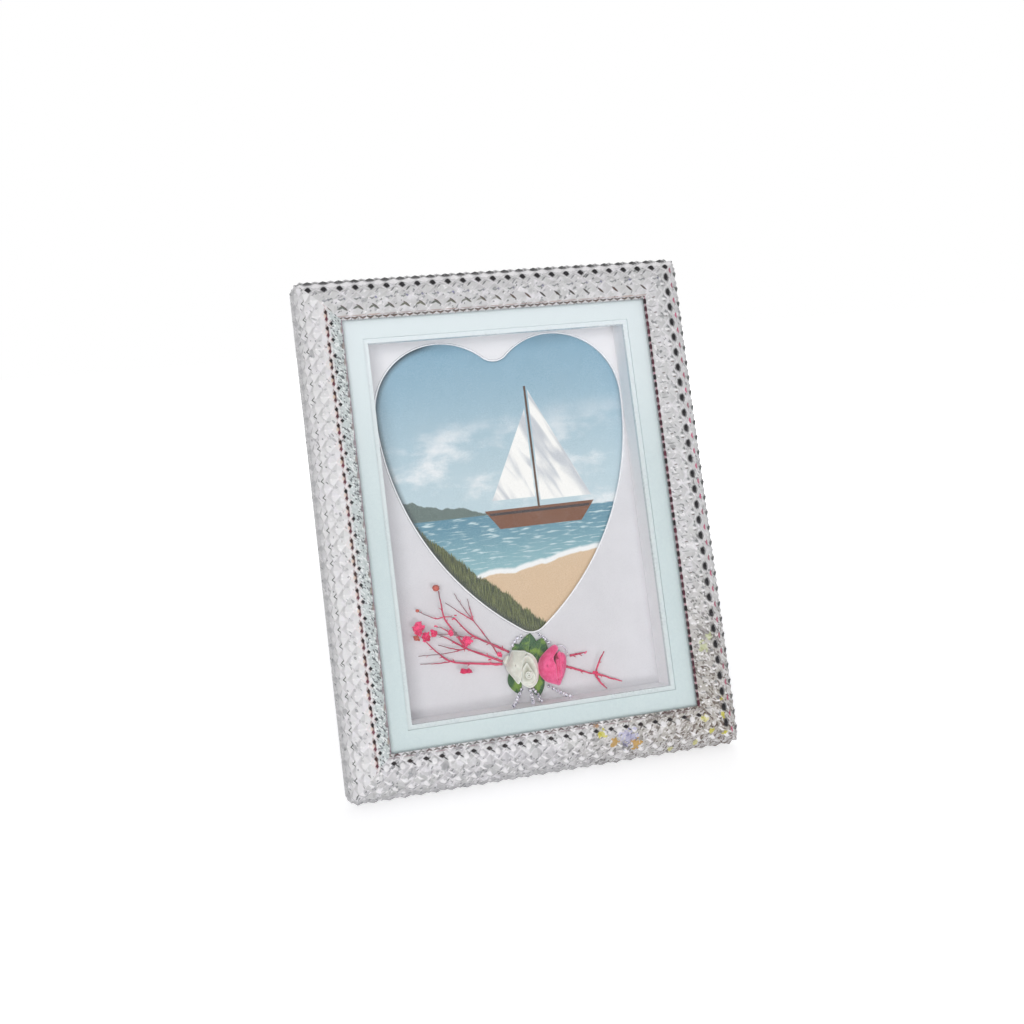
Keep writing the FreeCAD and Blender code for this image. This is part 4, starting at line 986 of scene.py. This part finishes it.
flowers = {"middle": -76.0, "matFront": 5.5, "dome": 2.4, "ripple": 0.3, "rippleScale": 0.32,
           "skirt": 0.45, "tuck": 1.5, "round": 5, "curlSteps": 60,
           # Rings of a petal: shares of the way to its rim, and from there under it to its foot
           "front": (0.03, 0.15, 0.3, 0.45, 0.6, 0.74, 0.86, 0.95, 1.0),
           "back": (0.06, 0.2, 0.45, 0.75, 1.0)}
petalFinish = {"scale": 420.0, "bump": (0.12, 0.0003), "Roughness": 0.5, "Subsurface Weight": 0.12,
               "Subsurface Radius": (0.002, 0.0012, 0.001), "Subsurface Scale": 0.4}
roses = {
    "white_rose_petals": {
        "node": "white_rose", "slot": "white_petal", "foot": (-7.8, 1.7, -76.4),
        "finish": {"tones": ((206, 206, 195), (238, 238, 229)), "fold": (142, 143, 122),
                   "rim": (248, 248, 242)},
        "curl": {"middle": (-4.7, 10.0, -79.2), "wide": 2.3, "high": 2.7, "turns": 2.1, "thick": 0.36},
        # Each petal: its middle, then its outline
        "petals": [
            [(-14.0, 3.6, -71.4), (-15.6, 2.0, -71.2), (-13.9, 2.5, -69.1), (-12.3, 3.0, -69.1),
             (-13.1, 3.5, -71.8), (-14.0, 3.0, -73.9), (-15.3, 2.3, -73.2)],
            [(-3.8, 6.4, -76.3), (-4.6, 5.0, -67.4), (-3.4, 6.0, -68.2), (-0.8, 5.5, -69.8),
             (1.3, 5.0, -73.3), (1.6, 5.0, -78.9), (0.6, 5.5, -83.2), (-1.6, 6.0, -85.6),
             (-3.9, 6.5, -86.4), (-6.5, 7.0, -85.1), (-8.6, 7.5, -82.7), (-9.0, 6.0, -79.5),
             (-8.0, 5.0, -73.1)],
            [(-3.6, 7.4, -77.4), (-6.2, 8.4, -70.6), (-3.6, 7.8, -69.6), (-0.8, 7.6, -73.0),
             (0.3, 7.8, -78.6), (-0.9, 8.2, -82.6), (-3.6, 8.6, -84.9), (-6.9, 8.8, -83.8),
             (-8.3, 8.8, -80.0)],
            [(-10.7, 9.0, -73.9), (-10.7, 4.5, -66.3), (-7.4, 6.0, -66.8), (-4.1, 7.0, -67.6),
             (-5.5, 9.0, -70.2), (-7.4, 9.7, -74.3), (-7.9, 10.0, -77.8), (-8.9, 9.0, -81.8),
             (-10.3, 8.0, -83.3), (-12.2, 6.5, -80.1), (-14.7, 4.5, -75.9), (-14.3, 4.5, -73.4),
             (-12.3, 4.0, -69.2)],
            [(-4.7, 9.0, -78.6), (-7.4, 9.8, -76.1), (-6.3, 10.0, -74.6), (-4.8, 10.0, -73.2),
             (-3.3, 10.2, -75.9), (-1.6, 10.0, -79.5), (-1.5, 9.8, -81.5), (-3.8, 10.0, -83.2),
             (-6.5, 10.0, -83.2), (-7.9, 10.0, -81.3)],
        ]},
    "pink_rose_petals": {
        "node": "pink_rose", "slot": "pink_petal", "foot": (8.6, 1.7, -77.0),
        "finish": {"tones": ((222, 64, 120), (243, 104, 156)), "fold": (168, 30, 80),
                   "rim": (248, 132, 176)},
        "petals": [
            [(12.6, 8.0, -78.2), (11.6, 6.0, -72.4), (12.9, 7.0, -70.8), (14.8, 7.0, -70.8),
             (16.3, 6.5, -73.0), (16.3, 5.5, -77.2), (14.9, 5.5, -81.8), (13.1, 6.0, -84.5),
             (11.5, 6.5, -86.9), (9.9, 6.0, -86.5), (9.1, 7.0, -82.0), (9.9, 7.0, -76.2)],
            [(13.6, 9.2, -74.2), (12.0, 8.4, -72.3), (13.4, 8.5, -71.2), (15.2, 8.3, -72.0),
             (15.5, 7.8, -74.6), (14.4, 8.0, -77.4), (12.7, 8.4, -75.6)],
            [(13.0, 9.0, -79.8), (12.2, 8.4, -77.0), (14.0, 8.0, -78.2), (14.2, 7.4, -81.0),
             (12.6, 7.6, -83.8), (11.4, 8.2, -82.2)],
            [(5.4, 10.0, -76.0), (11.2, 7.0, -66.2), (9.5, 6.5, -66.8), (6.0, 6.0, -69.2),
             (2.7, 5.0, -72.7), (1.5, 5.0, -76.6), (1.8, 5.0, -80.4), (4.2, 5.5, -83.9),
             (6.6, 6.0, -85.4), (9.7, 7.0, -86.5), (10.8, 8.0, -86.7), (10.1, 9.5, -84.1),
             (9.8, 10.0, -80.3), (10.0, 10.3, -77.0), (9.3, 10.3, -74.3), (9.3, 10.0, -71.8),
             (10.5, 9.5, -70.1), (12.3, 8.5, -69.0), (12.4, 7.5, -67.2)],
            [(12.5, 10.2, -74.6), (11.3, 9.4, -71.4), (12.6, 9.6, -69.6), (13.7, 9.4, -71.6),
             (13.1, 9.5, -74.4), (13.6, 9.3, -77.6), (12.3, 9.2, -80.6), (11.4, 9.3, -77.8),
             (12.0, 9.5, -74.4)],
            [(11.0, 10.4, -76.6), (10.2, 9.4, -73.8), (11.9, 9.8, -73.6), (12.4, 9.6, -75.6),
             (11.3, 9.5, -78.4), (12.0, 9.2, -81.5), (10.7, 9.2, -83.5), (9.8, 9.2, -81.9),
             (10.1, 9.4, -77.8)],
        ]},
}


def onMat(point):
    right, forward, up = point
    return Vector((right, flowers["matFront"] - forward, up))


def petalTones(tree, tone, finish):
    # Painted shade: darker in hollow petals towards their middle and under every petal; painted highlight
    # along each rim and on the curl
    petal = valueOf(tree, "petal")
    colour = mixed(smoothStep(petal, 1.0, 2.0), plainTones(tree, tone, finish), finish["fold"])
    rim = 1 - smoothStep(abs(petal - 1.0), 0.02, 0.12)
    return mixed(rim * 0.6, colour, finish["rim"])


def makeRose(name, rose):
    points, faces, marks = [], [], []
    foot = onMat(rose["foot"])
    for petal in rose["petals"]:
        middle, outline = onMat(petal[0]), [onMat(point) for point in petal[1:]]
        # Closed outline, then rings from its middle to the rim and back under to the foot
        loop = smoothRoute(outline + outline[:1], flowers["round"])[:-1]
        rows = []
        # Painted shade: seen from inside, a petal is darker towards its middle
        hollow = middle.y > max(spot.y for spot in outline)
        for share in flowers["front"]:
            row = []
            for spot in loop:
                at = middle.lerp(spot, share)
                ripple = flowers["ripple"] * noise.noise(at * flowers["rippleScale"]) * share
                at.y = middle.y + (spot.y - middle.y) * share ** flowers["dome"] - ripple
                row.append(at)
            marks += [2 - share if hollow else share] * len(row)
            rows.append(row)
        for share in flowers["back"]:
            row = []
            for spot in loop:
                under = spot.lerp(foot, flowers["skirt"] * share ** flowers["tuck"])
                under.y = spot.y + (foot.y - spot.y) * share
                row.append(under)
            # Painted shade under the petal
            marks += [1.0 + share] * len(row)
            rows.append(row)
        start = len(points)
        addGrid(points, faces, rows, closed=True)
        faces.append(tuple(range(start, start + len(loop))))
    if "curl" in rose:
        curl, last = rose["curl"], flowers["curlSteps"] - 1
        route = []
        for i in range(last + 1):
            turn = 2 * math.pi * curl["turns"] * i / last
            out = 0.12 + 0.88 * i / last
            way = Vector((math.cos(turn) * curl["wide"] * out * 0.8, 0.5 * out - 0.5,
                          math.sin(turn) * curl["high"] * out * 0.8))
            route.append(onMat(curl["middle"]) + way)
        addTube(points, faces, route, [curl["thick"]] * len(route), sides=6)
        marks += [1.0] * (len(points) - len(marks))
    look = makeLook(name, {**petalFinish, **rose["finish"]}, petalTones)
    piece = addPiece(name, rose["node"], points, faces, [look])
    markPoints(piece, "petal", "FLOAT", marks)


for name, rose in roses.items():
    makeRose(name, rose)
print("roses folded")


# Cloth leaves under the roses: stalk and tip from the spray's middle, width and layer

leaves = {
    "spots": [((-3.4, 1.8), (0.4, 16.8), 11.5, 0), ((0.8, 1.2), (6.6, 13.6), 10.5, 1),
              ((-3.4, 1.8), (-9.2, 12.6), 9.5, 1), ((-12.2, -1.0), (-9.0, -13.4), 7.5, 0),
              ((0.4, -1.8), (0.8, -16.3), 9.0, 0)],
    "back": 5.2, "step": 0.7, "cup": 0.7, "lift": 0.25, "thickness": 0.3, "rows": 15, "columns": 9,
    "ribs": 9.0, "ribSlant": 2.2,
    "colours": ((44, 84, 48), (118, 150, 60)), "vein": (128, 158, 84), "bump": (0.4, 0.0002),
    "Roughness": 0.5,
}


def makeLeafLook():
    look, tree, shader = newLook("leaf_cloth")
    along, across, _ = split(valueOf(tree, "blade", "Vector"))
    patches = smoothStep(noiseAt(placeIn(tree), 260.0), 0.42, 0.66)
    side = abs(across)
    slanted = along * leaves["ribs"] - side * leaves["ribSlant"]
    ribs = 1 - smoothStep(maths("PINGPONG", slanted, 0.5), 0.02, 0.12)
    veins = maths("MAXIMUM", ribs * 0.4, 1 - smoothStep(side, 0.02, 0.09))
    height = noiseAt(placeIn(tree), 3000.0) * 0.3 - veins
    colour = mixed(veins * 0.6, mixed(patches, *leaves["colours"]), leaves["vein"])
    fillAll(shader, {**leaves, "Base Color": colour, "Normal": bumped(height, *leaves["bump"])})
    return look


def makeLeaves():
    points, faces, blades = [], [], []
    for number, (stalk, tip, width, layer) in enumerate(leaves["spots"]):
        start, end = [Vector((right, 0, flowers["middle"] + up)) for right, up in (stalk, tip)]
        ahead = (end - start).normalized()
        side = Vector((-ahead.z, 0, ahead.x))
        back = leaves["back"] - layer * leaves["step"]
        rows = []
        for t in (j / (leaves["rows"] - 1) for j in range(leaves["rows"])):
            half = width / 2 * math.sin(math.pi * t) ** 0.75 * (1.08 - 0.3 * t)
            row = []
            for a in (-1 + 2 * i / (leaves["columns"] - 1) for i in range(leaves["columns"])):
                spot = start + (end - start) * t + side * (a * half)
                lift = leaves["cup"] * (0.35 * a * a + 0.5 * math.sin(math.pi * t)) - 0.1 * (1 - abs(a))
                row.append(Vector((spot.x, back - leaves["lift"] - max(0.0, lift), spot.z)))
                blades.extend((t, a, float(number)))
            rows.append(row)
        addGrid(points, faces, rows)
    piece = addPiece("cloth_leaves", "rose_leaves", points, faces, [makeLeafLook()])
    markPoints(piece, "blade", "FLOAT_VECTOR", blades)
    thicken(piece, leaves["thickness"])


makeLeaves()


# Dyed twigs with small spurs, and their blossoms. Points: right, forward of the mat, up

twigs = {
    "twigs_left_dyed": {"node": "twigs_left", "thick": [
        [(-15.9, 0.8, -73.0), (-31.0, 2.4, -70.4), (-42.1, 3.1, -67.8), (-48.5, 3.5, -62.4),
         (-54.4, 3.9, -55.2)],
        [(-11.8, 0.8, -67.4), (-20.5, 2.6, -62.0), (-29.0, 3.9, -56.9), (-33.0, 4.4, -53.0),
         (-38.3, 4.0, -46.0)],
        [(-15.8, 0.8, -71.6), (-22.1, 3.5, -68.4), (-34.0, 6.2, -62.1), (-43.3, 5.8, -55.6),
         (-49.3, 5.3, -52.4)],
        [(-34.0, 6.2, -62.1), (-37.9, 7.5, -55.4), (-40.8, 7.5, -50.3), (-43.3, 5.8, -44.9),
         (-44.4, 4.4, -31.8)],
    ], "thin": [
        [(-42.1, 3.1, -67.8), (-50.0, 2.2, -67.9), (-57.6, 1.7, -67.2)],
        [(-29.0, 3.9, -56.9), (-33.3, 3.6, -56.8), (-41.6, 3.1, -54.1), (-48.4, 2.6, -53.6)],
        [(-34.0, 6.2, -62.1), (-36.8, 5.3, -62.6), (-46.0, 4.4, -63.4), (-58.2, 3.5, -62.9)],
        [(-36.8, 5.3, -62.6), (-42.0, 4.8, -61.0), (-47.8, 4.4, -58.6)],
        [(-43.3, 5.8, -44.9), (-46.8, 4.9, -45.5), (-51.0, 4.2, -43.6), (-55.8, 3.5, -40.6)],
        [(-17.3, 0.8, -68.3), (-23.1, 1.7, -57.4), (-28.3, 2.2, -49.0), (-33.0, 2.6, -41.2),
         (-36.6, 3.1, -34.0)],
        [(-28.3, 2.2, -49.0), (-29.2, 2.4, -44.0), (-30.0, 2.6, -37.6)],
        [(-28.3, 2.2, -49.0), (-35.6, 3.4, -43.2), (-41.6, 4.0, -38.2)],
        [(-43.3, 5.8, -44.9), (-40.6, 5.4, -45.4), (-38.3, 4.8, -46.0)],
        [(-40.8, 4.8, -53.8), (-45.0, 4.8, -50.4), (-47.6, 5.3, -49.6)],
    ]},
    "twigs_right_dyed": {"node": "twigs_right", "thick": [
        [(16.3, 0.8, -78.3), (23.0, 1.8, -81.2), (29.3, 2.6, -83.9), (31.8, 3.1, -84.3)],
        [(31.6, 3.1, -84.6), (33.4, 4.0, -79.6), (37.2, 4.9, -73.4)],
        [(31.8, 3.1, -84.3), (38.4, 2.6, -87.3), (45.4, 2.2, -90.3)],
        [(31.4, 3.1, -84.6), (33.6, 3.8, -89.4), (36.4, 4.4, -92.6)],
        [(19.7, 0.8, -73.5), (24.0, 1.6, -73.2), (27.7, 2.2, -72.9)],
    ], "thin": []},
}
twigForm = {
    "thick": (0.62, 0.28), "thin": (0.30, 0.18), "uneven": (0.86, 1.2), "steps": 7, "sides": 8,
    "wander": 0.22, "wanderScale": 0.45, "seed": 11, "spurEvery": 5, "spur": (0.8, 1.9), "thinSpur": 0.7,
    "spurTaper": (0.7, 0.45, 0.3), "bare": (140, 108, 114),
    "finish": {"tones": ((176, 44, 80), (226, 84, 118)), "scale": 1400.0, "bump": (0.5, 0.0003),
               "Roughness": 0.6},
}


def twigTones(tree, tone, finish):
    # Bare wood in patches and towards the thin tips
    patch, tip = noiseAt(placeIn(tree), 120.0), valueOf(tree, "tip")
    bare = maths("MAXIMUM", smoothStep(patch, 0.56, 0.66), smoothStep(tip, 0.25, 0.8))
    return mixed(bare, plainTones(tree, tone, finish), twigForm["bare"])


def makeTwigs(name, bunch, look):
    rng = random.Random(twigForm["seed"])
    points, faces, tips = [], [], []
    for kind in ("thick", "thin"):
        first, last = twigForm[kind]
        for knots in bunch[kind]:
            route = smoothRoute([onMat(knot) for knot in knots], twigForm["steps"])
            count = len(route) - 1
            for spot in route[1:-1]:
                sway = noise.noise_vector(spot * twigForm["wanderScale"]) * twigForm["wander"]
                spot += Vector((sway.x, min(sway.y, 0.0) * 0.5, sway.z))
            radii = [(first + (last - first) * i / count) * rng.uniform(*twigForm["uneven"])
                     for i in range(count + 1)]
            addTube(points, faces, route, radii, twigForm["sides"])
            tips += [i / count * (kind == "thin")
                     for i in range(count + 1) for _ in range(twigForm["sides"])]
            # Short side shoots, tapering from their foot
            for i in range(3, count - 1, twigForm["spurEvery"]):
                foot, ahead = route[i], (route[i + 1] - route[i - 1]).normalized()
                side = Vector((rng.uniform(-1, 1), rng.uniform(-0.8, 0.0), rng.uniform(-1, 1)))
                side = (side - ahead * side.dot(ahead)).normalized()
                reach = rng.uniform(*twigForm["spur"]) * (1.0 if kind == "thick" else twigForm["thinSpur"])
                tip = foot + (side * 0.8 + ahead * 0.6) * (reach + radii[i])
                addTube(points, faces, [foot, (foot + tip) / 2 + side * 0.1, tip],
                        [radii[i] * share for share in twigForm["spurTaper"]], sides=6)
            tips += [0.0] * (len(points) - len(tips))
    markPoints(addPiece(name, bunch["node"], points, faces, [look]), "tip", "FLOAT", tips)


noise.seed_set(twigForm["seed"])
twigLook = makeLook("dyed_twig", twigForm["finish"], twigTones)
for name, bunch in twigs.items():
    makeTwigs(name, bunch, twigLook)

blossoms = {
    "seed": 21, "thickness": 0.2, "facing": 0.5, "cup": (0.2, 0.7), "long": (0.8, 1.05), "width": 0.8,
    "curve": 0.16, "crumple": 0.3, "crumpleScale": 1.3, "rows": 6, "columns": 7,
    "finish": {"scale": 1600.0, "bump": (0.4, 0.0003), "Roughness": 0.6, "Subsurface Weight": 0.1,
               "Subsurface Scale": 0.001},
    "tones": {"blossom_petal": ((210, 28, 88), (252, 92, 142)), "dry_bud": ((176, 72, 60), (220, 122, 108))},
    # Middle, radius and kind: 0 a crumpled flower, 1 a small petal, 2 a dry bud, 3 a heart of two petals
    "spots": [
        ((-56.4, 5.6, -49.3), 3.9, 0), ((-58.3, 4.6, -54.0), 1.9, 2), ((-53.2, 5.0, -54.0), 2.8, 0),
        ((-49.2, 5.8, -52.4), 2.1, 0), ((-47.8, 5.6, -49.2), 1.0, 1), ((-40.6, 5.4, -53.4), 1.7, 0),
        ((-34.0, 6.8, -57.8), 3.0, 0), ((-37.4, 6.2, -55.6), 1.2, 1), ((-38.5, 5.0, -46.8), 1.1, 1),
        ((-37.6, 5.0, -44.8), 0.8, 1), ((-45.6, 5.2, -30.4), 2.3, 2), ((-56.2, 4.4, -40.4), 1.1, 2),
        ((-34.6, 4.0, -74.6), 4.0, 3), ((-22.6, 3.6, -69.3), 1.1, 1), ((-16.8, 2.2, -68.0), 1.5, 0),
        ((27.9, 2.8, -72.9), 0.9, 1), ((31.4, 3.4, -84.2), 1.7, 1), ((-46.8, 4.6, -45.4), 0.6, 1),
    ],
}


def makeBlossoms():
    rng = random.Random(blossoms["seed"])
    points, faces, picks = [], [], []
    last, half = blossoms["rows"] - 1, (blossoms["columns"] - 1) / 2
    tilt, curve = blossoms["facing"], blossoms["curve"]
    for spot, radius, kind in blossoms["spots"]:
        middle = onMat(spot)
        facing = Vector((rng.uniform(-tilt, tilt), -1.0, rng.uniform(-tilt, tilt))).normalized()
        right = facing.cross(Vector((0, 0, -1))).normalized()
        up = facing.cross(right)
        if kind == 2:
            addBall(points, faces, middle, radius * 0.8,
                    lambda way: 0.8 + 0.5 * noise.noise(way * 2.2 + middle) + 0.2 * way.z)
        petals = 2 if kind else 6
        for k in range(petals):
            turn = 2 * math.pi * (k + rng.uniform(-0.25, 0.25)) / petals
            if kind == 3:
                turn = math.pi / 2 + 0.6 * (2 * k - 1)
            cup, long = rng.uniform(*blossoms["cup"]), radius * rng.uniform(*blossoms["long"])
            rows = []
            for t in (j / last for j in range(last + 1)):
                row = []
                for a in (-1 + i / half for i in range(blossoms["columns"])):
                    angle = turn + a * blossoms["width"] * math.sin(math.pi * (0.15 + 0.64 * t)) / (0.35 + t)
                    out, height = long * t * (1 - curve * a * a), long * (cup * t * t + curve * a * a * t)
                    at = middle + (right * math.cos(angle) + up * math.sin(angle)) * out + facing * height
                    crumple = noise.noise_vector(at * blossoms["crumpleScale"]) * blossoms["crumple"]
                    row.append(at + crumple * radius * t)
                rows.append(row)
            addGrid(points, faces, rows)
        picks += [int(kind == 2)] * (len(faces) - len(picks))
    looks = [makeLook(name, {**blossoms["finish"], "tones": tones})
             for name, tones in blossoms["tones"].items()]
    piece = addPiece("dyed_blossoms", "blossoms", points, faces, looks, picks)
    thicken(piece, blossoms["thickness"], 0.0)


makeBlossoms()
print("leaves, twigs and blossoms laid")


# Bead strands on wires. Points: right, forward of the mat, up

beads = {
    "strands": [
        [(-4.6, 1.6, -60.2), (-7.3, 1.8, -61.4), (-9.6, 1.7, -64.2)],
        [(4.8, 1.6, -60.4), (7.2, 1.9, -62.6), (9.6, 1.8, -66.0)],
        [(-7.9, 2.0, -87.0), (-11.0, 6.0, -90.4), (-13.2, 10.0, -92.4), (-14.8, 13.0, -93.0)],
        [(-3.6, 2.0, -86.6), (-3.9, 7.5, -90.6), (-4.6, 12.5, -93.0)],
        [(-1.6, 1.8, -87.6), (-0.3, 5.0, -90.4), (-0.1, 9.0, -92.2), (0.3, 12.5, -93.0)],
        [(6.6, 1.8, -87.4), (10.6, 4.5, -90.2), (13.6, 8.5, -92.2), (16.2, 12.0, -93.0)],
    ],
    "loop": [(12.6, 2.2, -68.6), (15.6, 2.6, -67.6), (17.8, 2.8, -69.9), (18.2, 2.6, -72.6),
             (16.9, 2.0, -74.4)],
    "radius": 0.92, "pitch": 1.95, "wire": 0.22, "loopWire": 0.286, "steps": 8, "darkReflection": (92, 92, 112),
    "finish": {"tones": ((222, 220, 238), (252, 251, 255)), "scale": 1200.0, "rough": (0.08, 0.16),
               "Metallic": 0.4},
}


def beadTones(tree, tone, finish):
    # Painted reflections: small flat facets, some of them dark
    chance, tone, _ = cellsAt(placeIn(tree), 1700.0)
    return mixed(smoothStep(chance, 0.24, 0.18), plainTones(tree, tone, finish), beads["darkReflection"])


def makeBeads():
    points, faces = [], []
    for knots in beads["strands"]:
        route = smoothRoute([onMat(knot) for knot in knots], beads["steps"])
        addTube(points, faces, route, [beads["wire"]] * len(route), sides=6)
        travelled = 0.0
        for before, spot in zip([route[0]] + route, route):
            travelled += (spot - before).length
            if spot is route[0] or travelled >= beads["pitch"]:
                addBall(points, faces, spot, beads["radius"])
                travelled = 0.0
    loop = smoothRoute([onMat(knot) for knot in beads["loop"]], beads["steps"])
    addTube(points, faces, loop, [beads["loopWire"]] * len(loop))
    look = makeLook("bead_silver", beads["finish"], beadTones)
    addPiece("bead_strands", "bead_sprays", points, faces, [look])


makeBeads()
print("beads strung")


# Studio: pale floor, white surroundings and large soft lamps. A lamp: its power, width and place

studio = {
    "world": 0.44, "aim": (0.0, 0.0, 0.12), "lamps": {
        "key": (10.3, 0.8, (-0.45, -1.4, 0.6)), "fill": (7.0, 0.9, (0.5, 1.3, 0.55)),
        "low": (3.0, 0.22, (0.15, -1.2, 0.13))},
    "floorHalf": 3.0, "floor": (214, 214, 216), "glow": (0.58, 1.0), "glowReach": (0.15, 0.8),
    "white": (255, 255, 255),
}


def whiteInView(tree):
    # 1 for what the camera sees directly, mirrored or through something clear
    direct, mirrored, through = [signal(tree, "LightPath", out=f"Is {kind} Ray")
                                 for kind in ("Camera", "Glossy", "Transmission")]
    return maths("MAXIMUM", maths("MAXIMUM", direct, mirrored), through)


def addLamp(name, power, size, spot):
    light = bpy.data.lights.new(name, "AREA")
    light.energy = power
    light.shape = "DISK"
    light.size = size
    lamp = bpy.data.objects.new(name, light)
    lamp.location = spot
    lamp.visible_glossy = False
    lamp.rotation_euler = (Vector(studio["aim"]) - Vector(spot)).to_track_quat("-Z", "Y").to_euler()
    bpy.context.scene.collection.objects.link(lamp)


def makeStudio():
    world = bpy.data.worlds.new("studio")
    bpy.context.scene.world = world
    world.use_nodes = True
    background = world.node_tree.nodes["Background"].inputs
    strength = ranged(whiteInView(world.node_tree), studio["world"], 1.0)
    fillAll(background, {"Color": studio["white"], "Strength": strength})
    for name, lamp in studio["lamps"].items():
        addLamp(name, *lamp)
    # The floor glows a little in view, more with distance, and keeps its shadow
    half = studio["floorHalf"]
    mesh = bpy.data.meshes.new("floor")
    corners = [(-half, -half, 0), (half, -half, 0), (half, half, 0), (-half, half, 0)]
    mesh.from_pydata(corners, [], [(0, 1, 2, 3)])
    look, tree, shader = newLook("pale_floor")
    distance = vectorMaths("LENGTH", placeIn(tree), out="Value")
    glow = ranged(smoothStep(distance, *studio["glowReach"]), *studio["glow"])
    fillAll(shader, {"Emission Strength": glow * whiteInView(tree), "Emission Color": studio["white"],
                     "Base Color": studio["floor"], "Roughness": 0.9, "Specular IOR Level": 0.0})
    mesh.materials.append(look)
    floor = bpy.data.objects.new("floor", mesh)
    bpy.context.scene.collection.objects.link(floor)


makeStudio()
print("studio lit")
